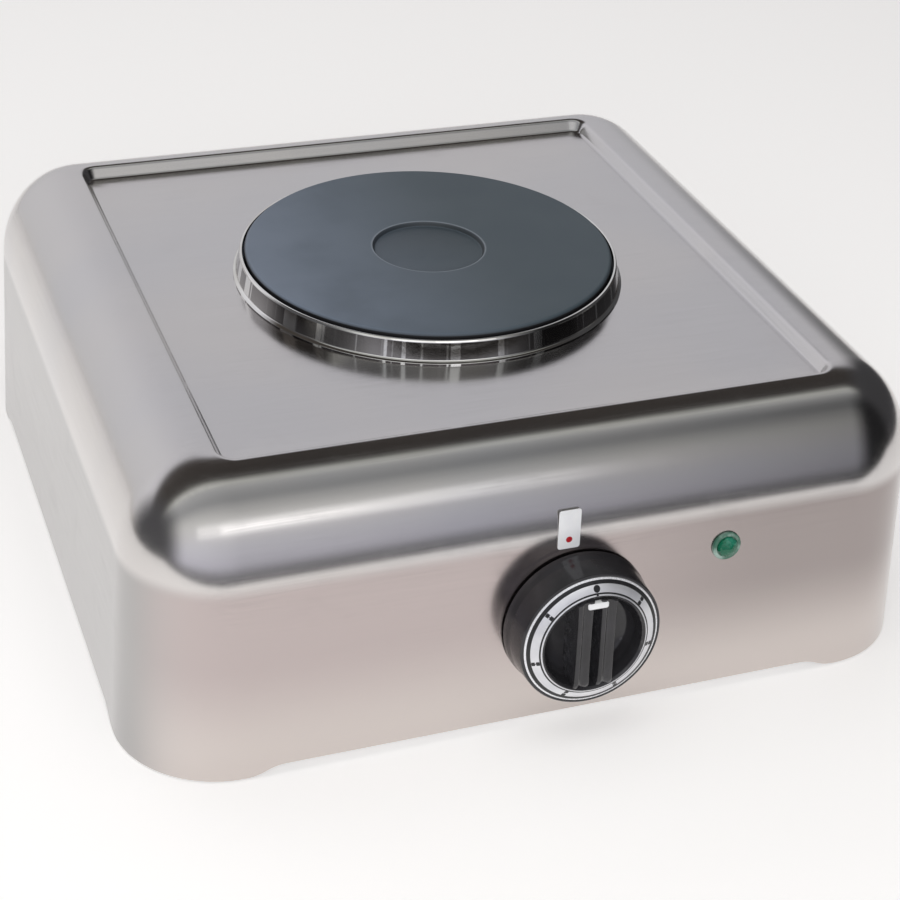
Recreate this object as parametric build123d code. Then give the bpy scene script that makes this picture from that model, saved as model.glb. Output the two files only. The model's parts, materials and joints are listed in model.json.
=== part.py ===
from build123d import *
from math import asin, atan, cos, degrees, radians, sin, sqrt, tan
import os

# Countertop hot plate with one cast-iron burner. Millimetres, +Z up, front towards -Y.
# The origin is under the middle of the overall box, on the surface that the feet stand on.
# Everything is modelled about the burner's axis and moved back as a whole when it is written.

# Pressed cover
cover_height = 140.0
crown_half_width = 182.0
crown_half_depth = 180.0
crown_corner_radius = 40.0
crown_rounding = 38.0
wall_draft = 3.3
sheet = 1.0
corner_foot_gap = 1.5
side_lift = 4.0
lift_run = 18.0

# Sunk deck in the top of the cover
recess_half_width = 142.0
recess_front = 150.0
recess_back = 145.5
recess_depth = 6.0
recess_slope_run = 3.3
recess_corner_radius = 8.0
deck_hole_radius = 88.6

# Burner
disc_radius = 89.0
disc_shoulder_radius = 91.2
disc_shoulder_top = 138.9
disc_skirt_radius = 88.2
disc_top = 147.0
disc_underside = 131.0
disc_plate = 7.0
dimple_radius = 27.5
dimple_depth = 2.2
ring_foot_radius = 94.5
ring_sheet = 0.7
coil_radii = (75.5, 55.5, 36.0)
coil_wire = 2.6
lead_radius = 1.2
lead_half_gap = 6.0
groove_walls = ((67.0, 84.0), (47.0, 64.0), (28.0, 44.0))
stud_radius = 4.0

# Front panel
knob_x = 7.3
knob_z = 54.0
knob_radius = 32.6
knob_skirt_radius = 34.2
knob_depth = 18.0
knob_gap = 1.0
bowl_radius = 22.6
bowl_floor = 10.0
bowl_rim = 21.8
dial_inner_radius = 24.0
dial_outer_radius = 31.3
dial_thickness = 0.55
grip_width = 18.4
grip_groove = 3.4
grip_top = 23.3
pointer_width = 9.6
pointer_height = 3.0
pointer_seat = 21.0
pointer_y = 20.4
hub_radius = 7.0
shaft_end = 9.5
switch_screw_y = 17.0
shaft_radius = 3.0
running_gap = 0.05
positions = 7
lamp_x = 78.5
lamp_z = 78.0
label_x = 2.0
label_z = 100.0
label_width = 10.2
label_height = 19.0

# Rotary switch behind the front panel
switch_side = 44.0
switch_depth = 36.0
switch_wall = 3.0
cam_centres = (-17.0, -25.0, -33.0)
cam_radius = 12.0
contact_offset = 14.5
pilot_heights = (-6.0, 6.0)
pilot_depth = -30.0

# Underside and rear
floor_z = 5.8
foot_x = 145.0
foot_y = 143.0
foot_radius = 12.0
gland_x = -112.0
gland_z = 36.0
gland_bore = 4.2
block_x = -96.0
block_y = 118.0
block_height = 15.0
block_pitch = 10.5
wire_level = 13.8

draft_slope = tan(radians(wall_draft))
foot_half_width = crown_half_width + cover_height * draft_slope
foot_half_depth = crown_half_depth + cover_height * draft_slope
foot_corner_radius = crown_corner_radius + cover_height * draft_slope
deck_z = cover_height - recess_depth
flange_z = floor_z + sheet
gland_reach = 8.0


def wall_y(z):
    """Distance of the outer front or rear wall from the burner's axis at height z."""
    return foot_half_depth - z * draft_slope


def front_panel(x, z):
    """Frame on the front wall: local x to the right, y up the wall, z outwards."""
    outwards = (0, -cos(radians(wall_draft)), sin(radians(wall_draft)))
    return Plane(origin=(x, -wall_y(z), z), x_dir=(1, 0, 0), z_dir=outwards)


def rear_panel(x, z):
    """Frame on the rear wall, with local z outwards."""
    outwards = (0, cos(radians(wall_draft)), sin(radians(wall_draft)))
    return Plane(origin=(x, wall_y(z), z), x_dir=(-1, 0, 0), z_dir=outwards)


def rod(radius, low, high):
    """Upright cylinder between two heights."""
    return Pos(0, 0, low) * Cylinder(radius, high - low, align=(Align.CENTER, Align.CENTER, Align.MIN))


def tube(outer, inner, low, high):
    """Upright ring between two heights."""
    return rod(outer, low, high) - rod(inner, low - 1, high + 1)


def slab(x, y, low, high):
    """Box centred on the axis between two heights."""
    return Pos(0, 0, low) * Box(x, y, high - low, align=(Align.CENTER, Align.CENTER, Align.MIN))


def turned(points):
    """Solid of revolution about Z from its half section, given as (radius, height) points."""
    section = Plane.XZ * make_face(Polyline(*[(r, h) for r, h in points], close=True))
    return revolve(section, Axis.Z)


def cross_screw(head_radius, head_height, shank_radius, length):
    """Pan-head screw with a cross recess: head above z = 0, shank below it."""
    head = rod(head_radius, 0, head_height)
    head = fillet(head.edges().group_by(Axis.Z)[-1], 0.45 * head_height)
    recess = slab(1.1 * head_radius, 0.9, 0.45 * head_height, head_height + 1)
    return head + rod(shank_radius, -length, 0) - recess - Rot(0, 0, 90) * recess


def hex_nut(across_flats, bore, low, high):
    """Hexagon nut with a plain bore."""
    hexagon = RegularPolygon(across_flats / sqrt(3), 6)
    return Pos(0, 0, low) * extrude(hexagon, high - low) - rod(bore, low - 1, high + 1)


def wire(points, bend, radius=1.3):
    """Insulated wire along straight runs joined by bends of at most the given radius."""
    runs = [Vector(*b) - Vector(*a) for a, b in zip(points, points[1:])]
    bends = []
    for before, after in zip(runs, runs[1:]):
        half_turn = radians(before.get_angle(after)) / 2
        bends.append(min(bend, 0.45 * min(before.length, after.length) / tan(half_turn)))
    path = FilletPolyline(*points, radius=bends)
    start = Plane(origin=path @ 0, z_dir=path % 0)
    return sweep(start * Circle(radius), path=path)


# ---- pressed cover ----

def cover_block(inset):
    """The cover as a full drafted block with a rounded crown, its faces moved in by inset."""
    side = inset / cos(radians(wall_draft))
    outline = RectangleRounded(
        2 * (foot_half_width - side), 2 * (foot_half_depth - side), foot_corner_radius - side
    )
    block = extrude(outline, cover_height - inset, taper=wall_draft)
    return fillet(block.edges().group_by(Axis.Z)[-1], crown_rounding - inset)


def deck_pocket(grow):
    """The sunk deck with its sloped step, its faces moved out by grow."""
    slope = atan(recess_slope_run / recess_depth)
    out = grow / cos(slope) - grow * tan(slope) - recess_slope_run
    width = 2 * (recess_half_width + out)
    depth = recess_front + recess_back + 2 * out
    corner = recess_corner_radius + out
    outline = RectangleRounded(width, depth, corner)
    bottom = Pos(0, (recess_back - recess_front) / 2, deck_z - grow) * outline
    return extrude(bottom, recess_depth + grow + 2, taper=-degrees(slope))


def edge_relief(half_length, reach):
    """Cutter that lifts the lower edge between two corner feet, along X, with an S at each end."""
    top = corner_foot_gap + side_lift
    radius = (lift_run**2 + side_lift**2) / (4 * side_lift)
    turn = degrees(2 * atan(side_lift / lift_run))
    inner = half_length - lift_run
    fall = JernArc((inner, top), (1, 0), radius, -turn)
    level = JernArc(fall @ 1, fall % 1, radius, turn)
    flat = Line((-inner, top), (inner, top))
    under = Polyline(level @ 1, (half_length, -5), (-half_length, -5), (-half_length, corner_foot_gap))
    outline = flat + fall + level + under + mirror(level, Plane.YZ) + mirror(fall, Plane.YZ)
    profile = make_face(outline)
    return extrude(Plane.XZ * profile, reach, both=True)


def body_shell():
    """Pressed stainless cover: crown, sunk deck, four walls, corner feet and fixing flanges."""
    shell = cover_block(0) - deck_pocket(0) - (cover_block(sheet) - deck_pocket(sheet))
    below = Pos(0, 0, -sheet) * slab(600, 600, 0, corner_foot_gap + sheet)
    shell -= below
    shell -= edge_relief(foot_half_width - foot_corner_radius, 300)
    shell -= Rot(0, 0, 90) * edge_relief(foot_half_depth - foot_corner_radius, 300)
    for side in (-1, 1):
        y = side * (foot_half_depth - 8.5)
        shell += Pos(0, y, 0) * slab(230, 15, flange_z, flange_z + sheet)
        x = side * (foot_half_width - 8.5)
        shell += Pos(x, 0, 0) * slab(15, 230, flange_z, flange_z + sheet)
    shell -= rod(deck_hole_radius, deck_z - 5, deck_z + 5)
    shell -= front_panel(knob_x, knob_z) * rod(5.0, -5, 5)
    for y in (-switch_screw_y, switch_screw_y):
        shell -= front_panel(knob_x, knob_z) * Pos(0, y, 0) * rod(2.1, -5, 5)
    shell -= front_panel(lamp_x, lamp_z) * rod(5.1, -5, 5)
    shell -= rear_panel(gland_x, gland_z) * rod(8.1, -5, 5)
    for x, y in base_screw_places():
        shell -= Pos(x, y, 0) * rod(1.8, flange_z - 1, flange_z + 3)
    return shell


def base_screw_places():
    """Two screws through each of the four flanges."""
    near = foot_half_depth - 9.0
    beside = foot_half_width - 9.0
    front_and_back = [(x, side * near) for x in (-90, 90) for side in (-1, 1)]
    left_and_right = [(side * beside, y) for y in (-90, 90) for side in (-1, 1)]
    return front_and_back + left_and_right


# ---- underside ----

def foot_places():
    return {
        "front_left": (-foot_x, -foot_y),
        "front_right": (foot_x, -foot_y),
        "rear_left": (-foot_x, foot_y),
        "rear_right": (foot_x, foot_y),
    }


def base_plate():
    """Flat bottom sheet with two banks of cooling slots and all its screw holes."""
    edge = 2.4
    outline = RectangleRounded(
        2 * (foot_half_width - edge), 2 * (foot_half_depth - edge), foot_corner_radius - edge
    )
    plate = Pos(0, 0, floor_z) * extrude(outline, sheet)
    slot = extrude(SlotOverall(46, 5), 10, both=True)
    for bank in (-1, 1):
        for row in range(7):
            plate -= Pos(bank * 66, 14 * (row - 3), floor_z) * slot
    for x, y in base_screw_places():
        plate -= Pos(x, y, 0) * rod(1.8, floor_z - 1, floor_z + 3)
    for x, y in foot_places().values():
        plate -= Pos(x, y, 0) * rod(2.2, floor_z - 1, floor_z + 3)
    for x, y in block_fixing_places():
        plate -= Pos(x, y, 0) * rod(1.65, floor_z - 1, floor_z + 3)
    plate -= Pos(block_x + 46, block_y, 0) * rod(2.1, floor_z - 1, floor_z + 3)
    return plate


def rubber_foot():
    """Round rubber foot with a sunk screw hole."""
    outer = Cone(foot_radius - 1.5, foot_radius, floor_z, align=(Align.CENTER, Align.CENTER, Align.MIN))
    return outer - rod(2.2, -1, 10) - rod(5.0, -1, 3.0)


def foot_screws():
    """Screw and nut at each foot, the head up inside the rubber."""
    screw = Pos(0, 0, 3.0) * Rot(180, 0, 0) * cross_screw(4.0, 2.2, 1.9, 9.0)
    nut = hex_nut(7.0, 2.0, flange_z, flange_z + 3.2)
    return [Pos(x, y, 0) * piece for x, y in foot_places().values() for piece in (screw, nut)]


def base_screws():
    """Screws up through the base plate into the flanges."""
    screw = Pos(0, 0, floor_z) * Rot(180, 0, 0) * cross_screw(3.2, 2.0, 1.6, 7.0)
    return [Pos(x, y, 0) * screw for x, y in base_screw_places()]


def flange_clip_nuts():
    """Spring-steel nuts on top of the flanges."""
    low = flange_z + sheet
    nut = slab(9, 9, low, low + 1.2) - rod(1.7, low - 1, low + 3)
    return [Pos(x, y, 0) * nut for x, y in base_screw_places()]


# ---- burner ----

def hotplate_disc():
    """Cast-iron disc: flat face with a centre dimple, ribbed underside and stud boss."""
    ceiling = disc_top - disc_plate
    bevel = 1.4
    dimple_floor = disc_top - dimple_depth
    face = [(0, dimple_floor), (dimple_radius - 1.6, dimple_floor), (dimple_radius, disc_top)]
    edge = [(disc_radius - bevel, disc_top), (disc_radius, disc_top - bevel)]
    shoulder = [(disc_radius, disc_shoulder_top), (disc_shoulder_radius, disc_shoulder_top)]
    skirt = [(disc_shoulder_radius, deck_z + 0.05), (disc_skirt_radius, deck_z + 0.05)]
    ribs = []
    for inner, outer in groove_walls:
        ribs += [(outer, disc_underside), (outer, ceiling), (inner, ceiling), (inner, disc_underside)]
    core = [(25.0, disc_underside), (25.0, ceiling), (12.0, ceiling), (12.0, disc_underside)]
    skirt += [(disc_skirt_radius, disc_underside)]
    disc = turned(face + edge + shoulder + skirt + ribs + core + [(0, disc_underside)])
    return disc - rod(stud_radius, disc_underside - 1, disc_underside + 10)


def spill_ring():
    """Bright ring around the disc: foot on the deck, leaning wall and a rolled inner lip."""
    t = ring_sheet
    foot = ring_foot_radius
    outside = [(foot, deck_z), (foot, deck_z + t), (foot - 1.6, deck_z + t + 0.6)]
    crest = [(foot - 2.9, disc_top - 1.4), (foot - 3.4, disc_top - 0.5), (foot - 4.4, disc_top - 0.5)]
    lip = disc_radius + 0.9
    rest = disc_shoulder_top + 0.05
    inside = [(lip, disc_top - 1.0), (lip, rest), (lip + t, rest), (lip + t, disc_top - 1.6)]
    crest_back = [(foot - 3.6, disc_top - 1.9)]
    foot_back = [(foot - 2.4, deck_z + 0.9), (foot - 2.4, deck_z)]
    return turned(outside + crest + inside + crest_back + foot_back)


def coil(radius, grow=0.0):
    """One heating coil, open towards the rear, with its two leads hanging down."""
    gap = degrees(2 * asin(lead_half_gap / radius))
    height = (disc_top - disc_plate + disc_underside) / 2
    ring = Rot(0, 0, 90 + gap / 2) * Torus(radius, coil_wire + grow, major_angle=360 - gap)
    lead_y = radius * cos(radians(gap / 2))
    part = Pos(0, 0, height) * ring
    for x in (-lead_half_gap, lead_half_gap):
        part += Pos(x, lead_y, 0) * rod(lead_radius + grow, 118.0, height)
    return part


def coil_insulation():
    """Pressed magnesia that holds each coil in its groove."""
    fills = []
    for radius, (inner, outer) in zip(coil_radii, groove_walls):
        fill = tube(outer - 0.1, inner + 0.1, disc_underside + 0.1, disc_top - disc_plate - 0.1)
        fills.append(fill - coil(radius, 0.1))
    return fills


def plate_cover():
    """Thin steel cover under the disc with holes for the stud and the leads."""
    cover = tube(86.0, stud_radius + 0.3, disc_underside - 0.8, disc_underside - 0.1)
    for x, y in lead_places():
        cover -= Pos(x, y, 0) * rod(2.4, disc_underside - 3, disc_underside + 3)
    return cover


def lead_places():
    places = []
    for radius in coil_radii:
        y = sqrt(radius**2 - lead_half_gap**2)
        places += [(-lead_half_gap, y), (lead_half_gap, y)]
    return places


def lead_insulator():
    """Ceramic block under the cover that spaces the six leads."""
    block = Pos(0, 55, 0) * slab(30, 56, 119.0, disc_underside - 0.9)
    block = fillet(block.edges().filter_by(Axis.Z), 4)
    for x, y in lead_places():
        block -= Pos(x, y, 0) * rod(lead_radius + 0.2, 110, 140)
    return block


def lead_terminals():
    """Push-on tab at the end of each lead."""
    tab = slab(0.8, 6.3, 106.0, 117.9) - Pos(0, 0, 109) * Rot(0, 90, 0) * Cylinder(0.9, 4)
    return [Pos(x, y, 0) * tab for x, y in lead_places()]


def lead_common_bar():
    """Strip that joins the three return leads."""
    x = -lead_half_gap - 0.85
    return Pos(x, 55, 0) * slab(0.8, 47, 112.0, 116.0)


def centre_stud():
    """Threaded stud from the disc's boss down through the bridge."""
    return chamfer(rod(stud_radius - 0.1, 90.0, 140.5).edges().group_by(Axis.Z)[0], 0.6)


def clamp_bridge():
    """Steel bridge that pulls the disc down on to the deck."""
    bar = slab(184, 24, 102.0, 104.0) - rod(stud_radius + 0.4, 100, 106)
    for side in (-1, 1):
        bar += Pos(side * 91, 0, 0) * slab(2, 24, 102.0, deck_z - sheet - 0.05)
        bar += Pos(side * 98, 0, 0) * slab(16, 24, deck_z - sheet - 2.05, deck_z - sheet - 0.05)
    return bar


def bridge_washer():
    return tube(9.0, stud_radius + 0.2, 100.4, 101.95)


def bridge_nut():
    return hex_nut(13.0, stud_radius - 0.05, 93.8, 100.35)


# ---- rotary switch, in the knob's panel frame ----

def switch_housing():
    """Moulded box open to the rear, with the shaft's front bearing."""
    front = -sheet - 1.6
    rear = front - switch_depth
    box = slab(switch_side, switch_side, rear, front)
    box = fillet(box.edges().filter_by(Axis.Z), 3)
    inside = switch_side - 2 * switch_wall
    box -= slab(inside, inside, rear - 1, front - switch_wall)
    box -= rod(shaft_radius + running_gap, rear, 1)
    for y in (-switch_screw_y, switch_screw_y):
        box -= Pos(0, y, 0) * rod(1.95, rear, 1)
        pillar = Pos(0, 1.09 * y, 0) * slab(8, 5, front - switch_wall - 1.8, front - switch_wall)
        box += pillar - Pos(0, y, 0) * rod(1.95, rear, 1)
    for x, y, z in terminal_places():
        box -= Pos(x, y, z) * Box(1.2, 12, 6.7)
    for y in pilot_heights:
        box -= Pos(switch_side / 2, y, pilot_depth) * Box(12, 1.2, 6.7)
    return box


def switch_plate():
    """Steel face plate between the housing and the wall."""
    plate = slab(switch_side, switch_side, -sheet - 1.55, -sheet - 0.05)
    plate -= rod(4.0, -10, 1)
    for y in (-switch_screw_y, switch_screw_y):
        plate -= Pos(0, y, 0) * rod(2.1, -10, 1)
    return plate


def switch_rear_cover():
    """Cover that closes the housing and carries the shaft's rear end."""
    front = -sheet - 1.65 - switch_depth
    cover = slab(switch_side, switch_side, front - 4, front)
    cover = fillet(cover.edges().filter_by(Axis.Z), 3)
    return cover - rod(shaft_radius + running_gap, front - 2.5, front + 1)


def terminal_places():
    """Middle of each tab where it passes through the housing's lower wall."""
    low = -(switch_side / 2)
    return [(side * contact_offset, low, z) for z in cam_centres for side in (-1, 1)]


def switch_terminals():
    """Push-on tabs below the housing."""
    tabs = []
    for x, y, z in terminal_places():
        tab = Pos(x, y - 4, z) * Box(0.8, 16, 6.3)
        tabs.append(tab - Pos(x, y - 9, z) * Rot(0, 90, 0) * Cylinder(0.9, 4))
    return tabs


def pilot_tabs():
    """Two tabs on the side of the housing for the pilot lamp."""
    return [Pos(switch_side / 2 + 3, y, pilot_depth) * Box(12, 0.8, 6.3) for y in pilot_heights]


def switch_contacts():
    """Spring leaves beside the cams, each with its silver contact button."""
    leaves = []
    for x, y, z in terminal_places():
        side = 1 if x > 0 else -1
        leaf = Pos(x + side * 0.75, -3.5, z) * Box(0.5, 30, 4)
        button = Pos(x + side * 1.5, 8, z) * Rot(0, 90, 0) * Cylinder(1.6, 1)
        leaves.append(leaf + button)
    return leaves


def switch_shaft():
    """Steel shaft with a flat for the knob."""
    rear = -sheet - 1.65 - switch_depth - 2.3
    shaft = rod(shaft_radius, rear, shaft_end)
    flat = Pos(0, shaft_radius - 0.7 + 5, knob_gap + 6) * Box(10, 10, 12)
    return shaft - flat


def switch_cams():
    """Cam drum with three discs, each with its own lobes."""
    bore = shaft_radius + running_gap
    drum = tube(6.5, bore, -36.5, -13.5)
    for index, z in enumerate(cam_centres):
        disc = tube(cam_radius, bore, z - 2, z + 2)
        for notch in range(index + 2):
            turn = 360 / positions * (notch * 2 + index)
            disc -= Rot(0, 0, turn) * Pos(cam_radius, 0, z) * Cylinder(3.2, 6)
        drum += disc
    return drum


def detent_wheel():
    """Star wheel that gives the knob its stops."""
    wheel = tube(cam_radius, shaft_radius + running_gap, -11.5, -8.0)
    for stop in range(positions):
        notch = Rot(0, 0, 90 + 360 / positions * stop) * Pos(cam_radius + 0.4, 0, -10) * Cylinder(2.0, 6)
        wheel -= notch
    return wheel


def detent_spring():
    """Leaf spring with the pin that drops into the star wheel's notches."""
    leaf = Pos(0, cam_radius + 4.6, -9.75) * Box(34, 0.6, 4)
    pin = Pos(0, cam_radius + 2.3, -9.75) * Cylinder(2.0, 4)
    return leaf + pin


def switch_screws():
    """Two screws hidden under the knob that hold the switch to the wall."""
    screw = Pos(0, 0, 0.05) * cross_screw(3.6, 2.2, 1.9, 7.3)
    return [Pos(0, y, 0) * screw for y in (-switch_screw_y, switch_screw_y)]


# ---- knob, in its panel frame ----

def dial_seat(radius):
    """Height of the sloping seat under the dial ring."""
    slope = (bowl_rim - knob_depth) / (dial_outer_radius - dial_inner_radius)
    return knob_depth - 0.6 + slope * (dial_outer_radius - radius)


def knob_body():
    """Round knob with a raised dial seat, a sunk bowl, a double-ribbed grip bar and a hollow back."""
    inner = dial_inner_radius
    outer = dial_outer_radius
    ceiling = bowl_floor - 3
    seat = [(inner, bowl_rim), (inner, dial_seat(inner)), (outer, dial_seat(outer)), (outer, knob_depth)]
    edge = [(knob_radius - 0.4, knob_depth), (knob_radius, knob_depth - 0.6)]
    back = [(knob_skirt_radius, knob_gap), (31.4, knob_gap), (30.0, ceiling), (hub_radius, ceiling)]
    hub = [(hub_radius, knob_gap + 1.5), (0, knob_gap + 1.5), (0, bowl_floor)]
    bowl = [(16.4, bowl_floor), (19.8, bowl_floor + 1.6), (21.7, bowl_floor + 4.6)]
    bowl += [(bowl_radius, bowl_rim - 0.9), (bowl_radius + 0.9, bowl_rim)]
    body = turned(seat + edge + back + hub + bowl)
    rib = slab((grip_width - grip_groove) / 2, 2 * bowl_radius, bowl_floor - 1, grip_top)
    rib = fillet(rib.edges().filter_by(Axis.Y).group_by(Axis.Z)[-1], 2.2)
    offset = (grip_width + grip_groove) / 4
    grip = slab(grip_groove + 2, 2 * bowl_radius, bowl_floor - 1, bowl_floor + 4)
    grip += Pos(-offset, 0, 0) * rib + Pos(offset, 0, 0) * rib
    grip += Pos(0, pointer_y, 0) * slab(pointer_width, pointer_height + 1.2, bowl_floor - 1, pointer_seat)
    body += grip & rod(bowl_radius + 0.3, 0, grip_top + 1)
    body -= Pos(0, pointer_y, 0) * slab(pointer_width, pointer_height, pointer_seat, grip_top + 1)
    bore = rod(shaft_radius + running_gap, 0, shaft_end + 0.1)
    key = Pos(0, shaft_radius - 0.6 + 5, knob_gap + 6) * Box(10, 10, 14)
    return body - (bore - key)


def knob_clamp_ring():
    """Spring ring that closes the hub on the shaft."""
    return tube(hub_radius + 1.0, hub_radius + 0.05, knob_gap + 2.2, bowl_floor - 3.5)


def dial_ring():
    """Printed metal ring on the sloping seat in the knob's face."""
    play = 0.05
    inner = dial_inner_radius + 0.1
    outer = dial_outer_radius - 0.1
    low = [(inner, dial_seat(inner) + play), (outer, dial_seat(outer) + play)]
    high = [(outer, dial_seat(outer) + dial_thickness), (inner, dial_seat(inner) + dial_thickness)]
    return turned(low + high)


def pointer_insert():
    """White pointer at the head of the grip."""
    play = 0.1
    bar = slab(pointer_width - play, pointer_height - play, pointer_seat + play, grip_top + 0.2)
    return Pos(0, pointer_y, 0) * bar


# ---- pilot lamp, in its panel frame ----

def lamp_body():
    """Plastic lamp holder with a thin bezel outside the wall."""
    barrel = tube(5.0, 3.9, -26, 0.05)
    bezel = tube(6.9, 4.9, 0.05, 1.5)
    slit = Box(1.2, 3.2, 4)
    rear = rod(5.0, -28, -26) - Pos(-2, 0, -27) * slit - Pos(2, 0, -27) * slit
    return barrel + bezel + tube(5.4, 3.9, 0.05, 0.5) + rear


def lamp_lens():
    """Faceted green lens."""
    facets = 12
    base = rod(4.8, 0.55, 2.4)
    crown = Pos(0, 0, 2.4) * extrude(RegularPolygon(4.7, facets), 2.4, taper=32)
    return base + crown


def lamp_bulb():
    """Small neon tube."""
    return fillet(rod(2.2, -16, -1.5).edges(), 1.4)


def lamp_clip():
    """Push-on spring ring behind the wall."""
    return tube(8.0, 5.05, -sheet - 1.2, -sheet - 0.05)


def lamp_terminals():
    return [Pos(x, 0, -29.5) * Box(0.8, 2.8, 9) for x in (-2, 2)]


def position_label():
    """Small plate above the knob that carries the reference dot."""
    plate = extrude(RectangleRounded(label_width, label_height, 1.2), 0.4)
    return Pos(0, 0, 0.05) * plate - Pos(0, -5.0, 0) * rod(1.5, -1, 2)


def label_dot():
    return Pos(0, -5.0, 0) * rod(1.45, 0.05, 0.5)


# ---- mains entry and wiring ----

def cable_gland():
    """Gland body through the rear wall, in its panel frame."""
    flange = 3.0
    nose = Cone(10.0, 7.5, gland_reach - flange, align=(Align.CENTER, Align.CENTER, Align.MIN))
    outside = rod(11.0, 0.05, flange) + Pos(0, 0, flange) * nose
    return outside + rod(8.0, -15, 0.05) - rod(gland_bore, -20, 20)


def gland_nut():
    return hex_nut(21.0, 8.05, -sheet - 5.1, -sheet - 0.1)


def block_fixing_places():
    """The two screws that hold the terminal block, between its poles."""
    return [(block_x + side * block_pitch / 2, block_y) for side in (-1, 1)]


def block_fixings():
    """Screws down through the terminal block into the base plate."""
    screw = Pos(0, 0, flange_z + block_height + 0.05) * cross_screw(2.6, 1.6, 1.5, block_height + 3)
    return [Pos(x, y, 0) * screw for x, y in block_fixing_places()]


def mains_block():
    """Three-pole terminal block on the base plate."""
    low = flange_z
    block = Pos(block_x, block_y, 0) * slab(34, 18, low, low + block_height)
    for x, y in block_fixing_places():
        block -= Pos(x, y, 0) * rod(1.65, low - 1, low + 20)
    for pole in (-1, 0, 1):
        x = block_x + block_pitch * pole
        block -= Pos(x, block_y, low + 5) * Rot(90, 0, 0) * Cylinder(2.2, 30)
        block -= Pos(x, block_y - 5, 0) * rod(2.4, low + 5, low + 20)
        block -= Pos(x, block_y + 5, 0) * rod(2.4, low + 5, low + 20)
    return block


def mains_block_screws():
    """Clamp screws of the terminal block."""
    screw = rod(2.2, flange_z + 7.6, flange_z + 13) - slab(6, 0.7, flange_z + 12, flange_z + 14)
    places = [(block_x + block_pitch * pole, block_y + y) for pole in (-1, 0, 1) for y in (-5, 5)]
    return [Pos(x, y, 0) * screw for x, y in places]


def earth_stud():
    """Earth stud through the base plate, with its nut."""
    place = Pos(block_x + 46, block_y, 0)
    head = rod(4.5, floor_z - 1.6, floor_z - 0.05)
    stud = rod(2.0, floor_z - 0.1, flange_z + 16) + head
    return [place * stud, place * hex_nut(7.0, 2.05, flange_z + 0.05, flange_z + 3.2)]


def switch_tail(index):
    """Where a wire joins the tab with this index in terminal_places."""
    x, y, z = terminal_places()[index]
    tail = front_panel(knob_x, knob_z).from_local_coords(Vector(x, y - 14, z))
    return tail.X, tail.Y, tail.Z


def supply_wires():
    """Live and neutral from the terminal block to the switch."""
    wires = []
    low = flange_z + 5
    for index, (tab, aside) in enumerate(((0, 45), (2, 36))):
        x, y, z = switch_tail(tab)
        start_x = block_x + block_pitch * (index - 1)
        points = [
            (start_x, block_y - 10, low),
            (start_x, 16 * index - 92, low),
            (x - aside, y + 36, wire_level),
            (x, y, wire_level),
            (x, y, z),
        ]
        wires.append(wire(points, 12))
    return wires


def plate_wires():
    """Switched feeds from the switch to the three coils."""
    wires = []
    for tab, aside, (lead_x, lead_y) in zip((1, 3, 5), (42, 34, 26), lead_places()[1::2]):
        x, y, z = switch_tail(tab)
        points = [
            (x, y, z),
            (x, y, wire_level),
            (x + aside, y + 36, wire_level),
            (x + aside, lead_y - 24, wire_level),
            (x + aside - 6, lead_y, wire_level + 22),
            (lead_x, lead_y, 78),
            (lead_x, lead_y, 104.5),
        ]
        wires.append(wire(points, 20))
    return wires


def lamp_wires():
    """Two thin wires from the pilot lamp to its tabs on the switch."""
    wires = []
    for lamp_side, back, height in zip((2, -2), (24, 13), pilot_heights):
        start = lamp_frame.from_local_coords(Vector(lamp_side, 0, -34.5))
        end = knob_frame.from_local_coords(Vector(switch_side / 2 + 10, height, pilot_depth))
        points = [
            (start.X, start.Y, start.Z),
            (start.X, start.Y + back, start.Z - 3),
            (end.X + 22, start.Y + back, end.Z + 4),
            (end.X + 10, end.Y, end.Z),
            (end.X, end.Y, end.Z),
        ]
        wires.append(wire(points, 8, 0.8))
    return wires


def earth_wire():
    """Earth from the terminal block to the stud on the base plate."""
    points = [
        (block_x + block_pitch, block_y - 10, flange_z + 5),
        (block_x + block_pitch, block_y - 26, flange_z + 5),
        (block_x + 46, block_y - 26, flange_z + 7),
        (block_x + 46, block_y - 3.6, flange_z + 7),
    ]
    return wire(points, 7)


def write(name, shape, place=None):
    """Writes one sub-part, moved so that the origin is under the middle of the overall box."""
    solids = shape if isinstance(shape, list) else [shape]
    if place is not None:
        solids = [place * solid for solid in solids]
    front_reach = front_panel(knob_x, knob_z).from_local_coords(Vector(0, -bowl_radius, grip_top)).Y
    back_reach = max(foot_half_depth, wall_y(gland_z) + gland_reach)
    shift = Pos(0, -(front_reach + back_reach) / 2, 0)
    moved = [shift * solid for solid in solids]
    export_step(moved[0] if len(moved) == 1 else Compound(children=moved), f"parts/{name}.step")


knob_frame = front_panel(knob_x, knob_z)
lamp_frame = front_panel(lamp_x, lamp_z)
label_frame = front_panel(label_x, label_z)
gland_frame = rear_panel(gland_x, gland_z)

os.makedirs("parts", exist_ok=True)

write("body_shell", body_shell())
write("base_plate", base_plate())
for corner, (x, y) in foot_places().items():
    write(f"foot_{corner}", Pos(x, y, 0) * rubber_foot())
write("foot_screws", foot_screws())
write("base_screws", base_screws())
write("flange_clip_nuts", flange_clip_nuts())

write("hotplate_disc", hotplate_disc())
write("spill_ring", spill_ring())
for name, radius in zip(("outer", "middle", "inner"), coil_radii):
    write(f"heating_coil_{name}", coil(radius))
write("coil_insulation", coil_insulation())
write("plate_cover", plate_cover())
write("lead_insulator", lead_insulator())
write("lead_terminals", lead_terminals())
write("lead_common_bar", lead_common_bar())
write("centre_stud", centre_stud())
write("clamp_bridge", clamp_bridge())
write("bridge_washer", bridge_washer())
write("bridge_nut", bridge_nut())

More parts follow.
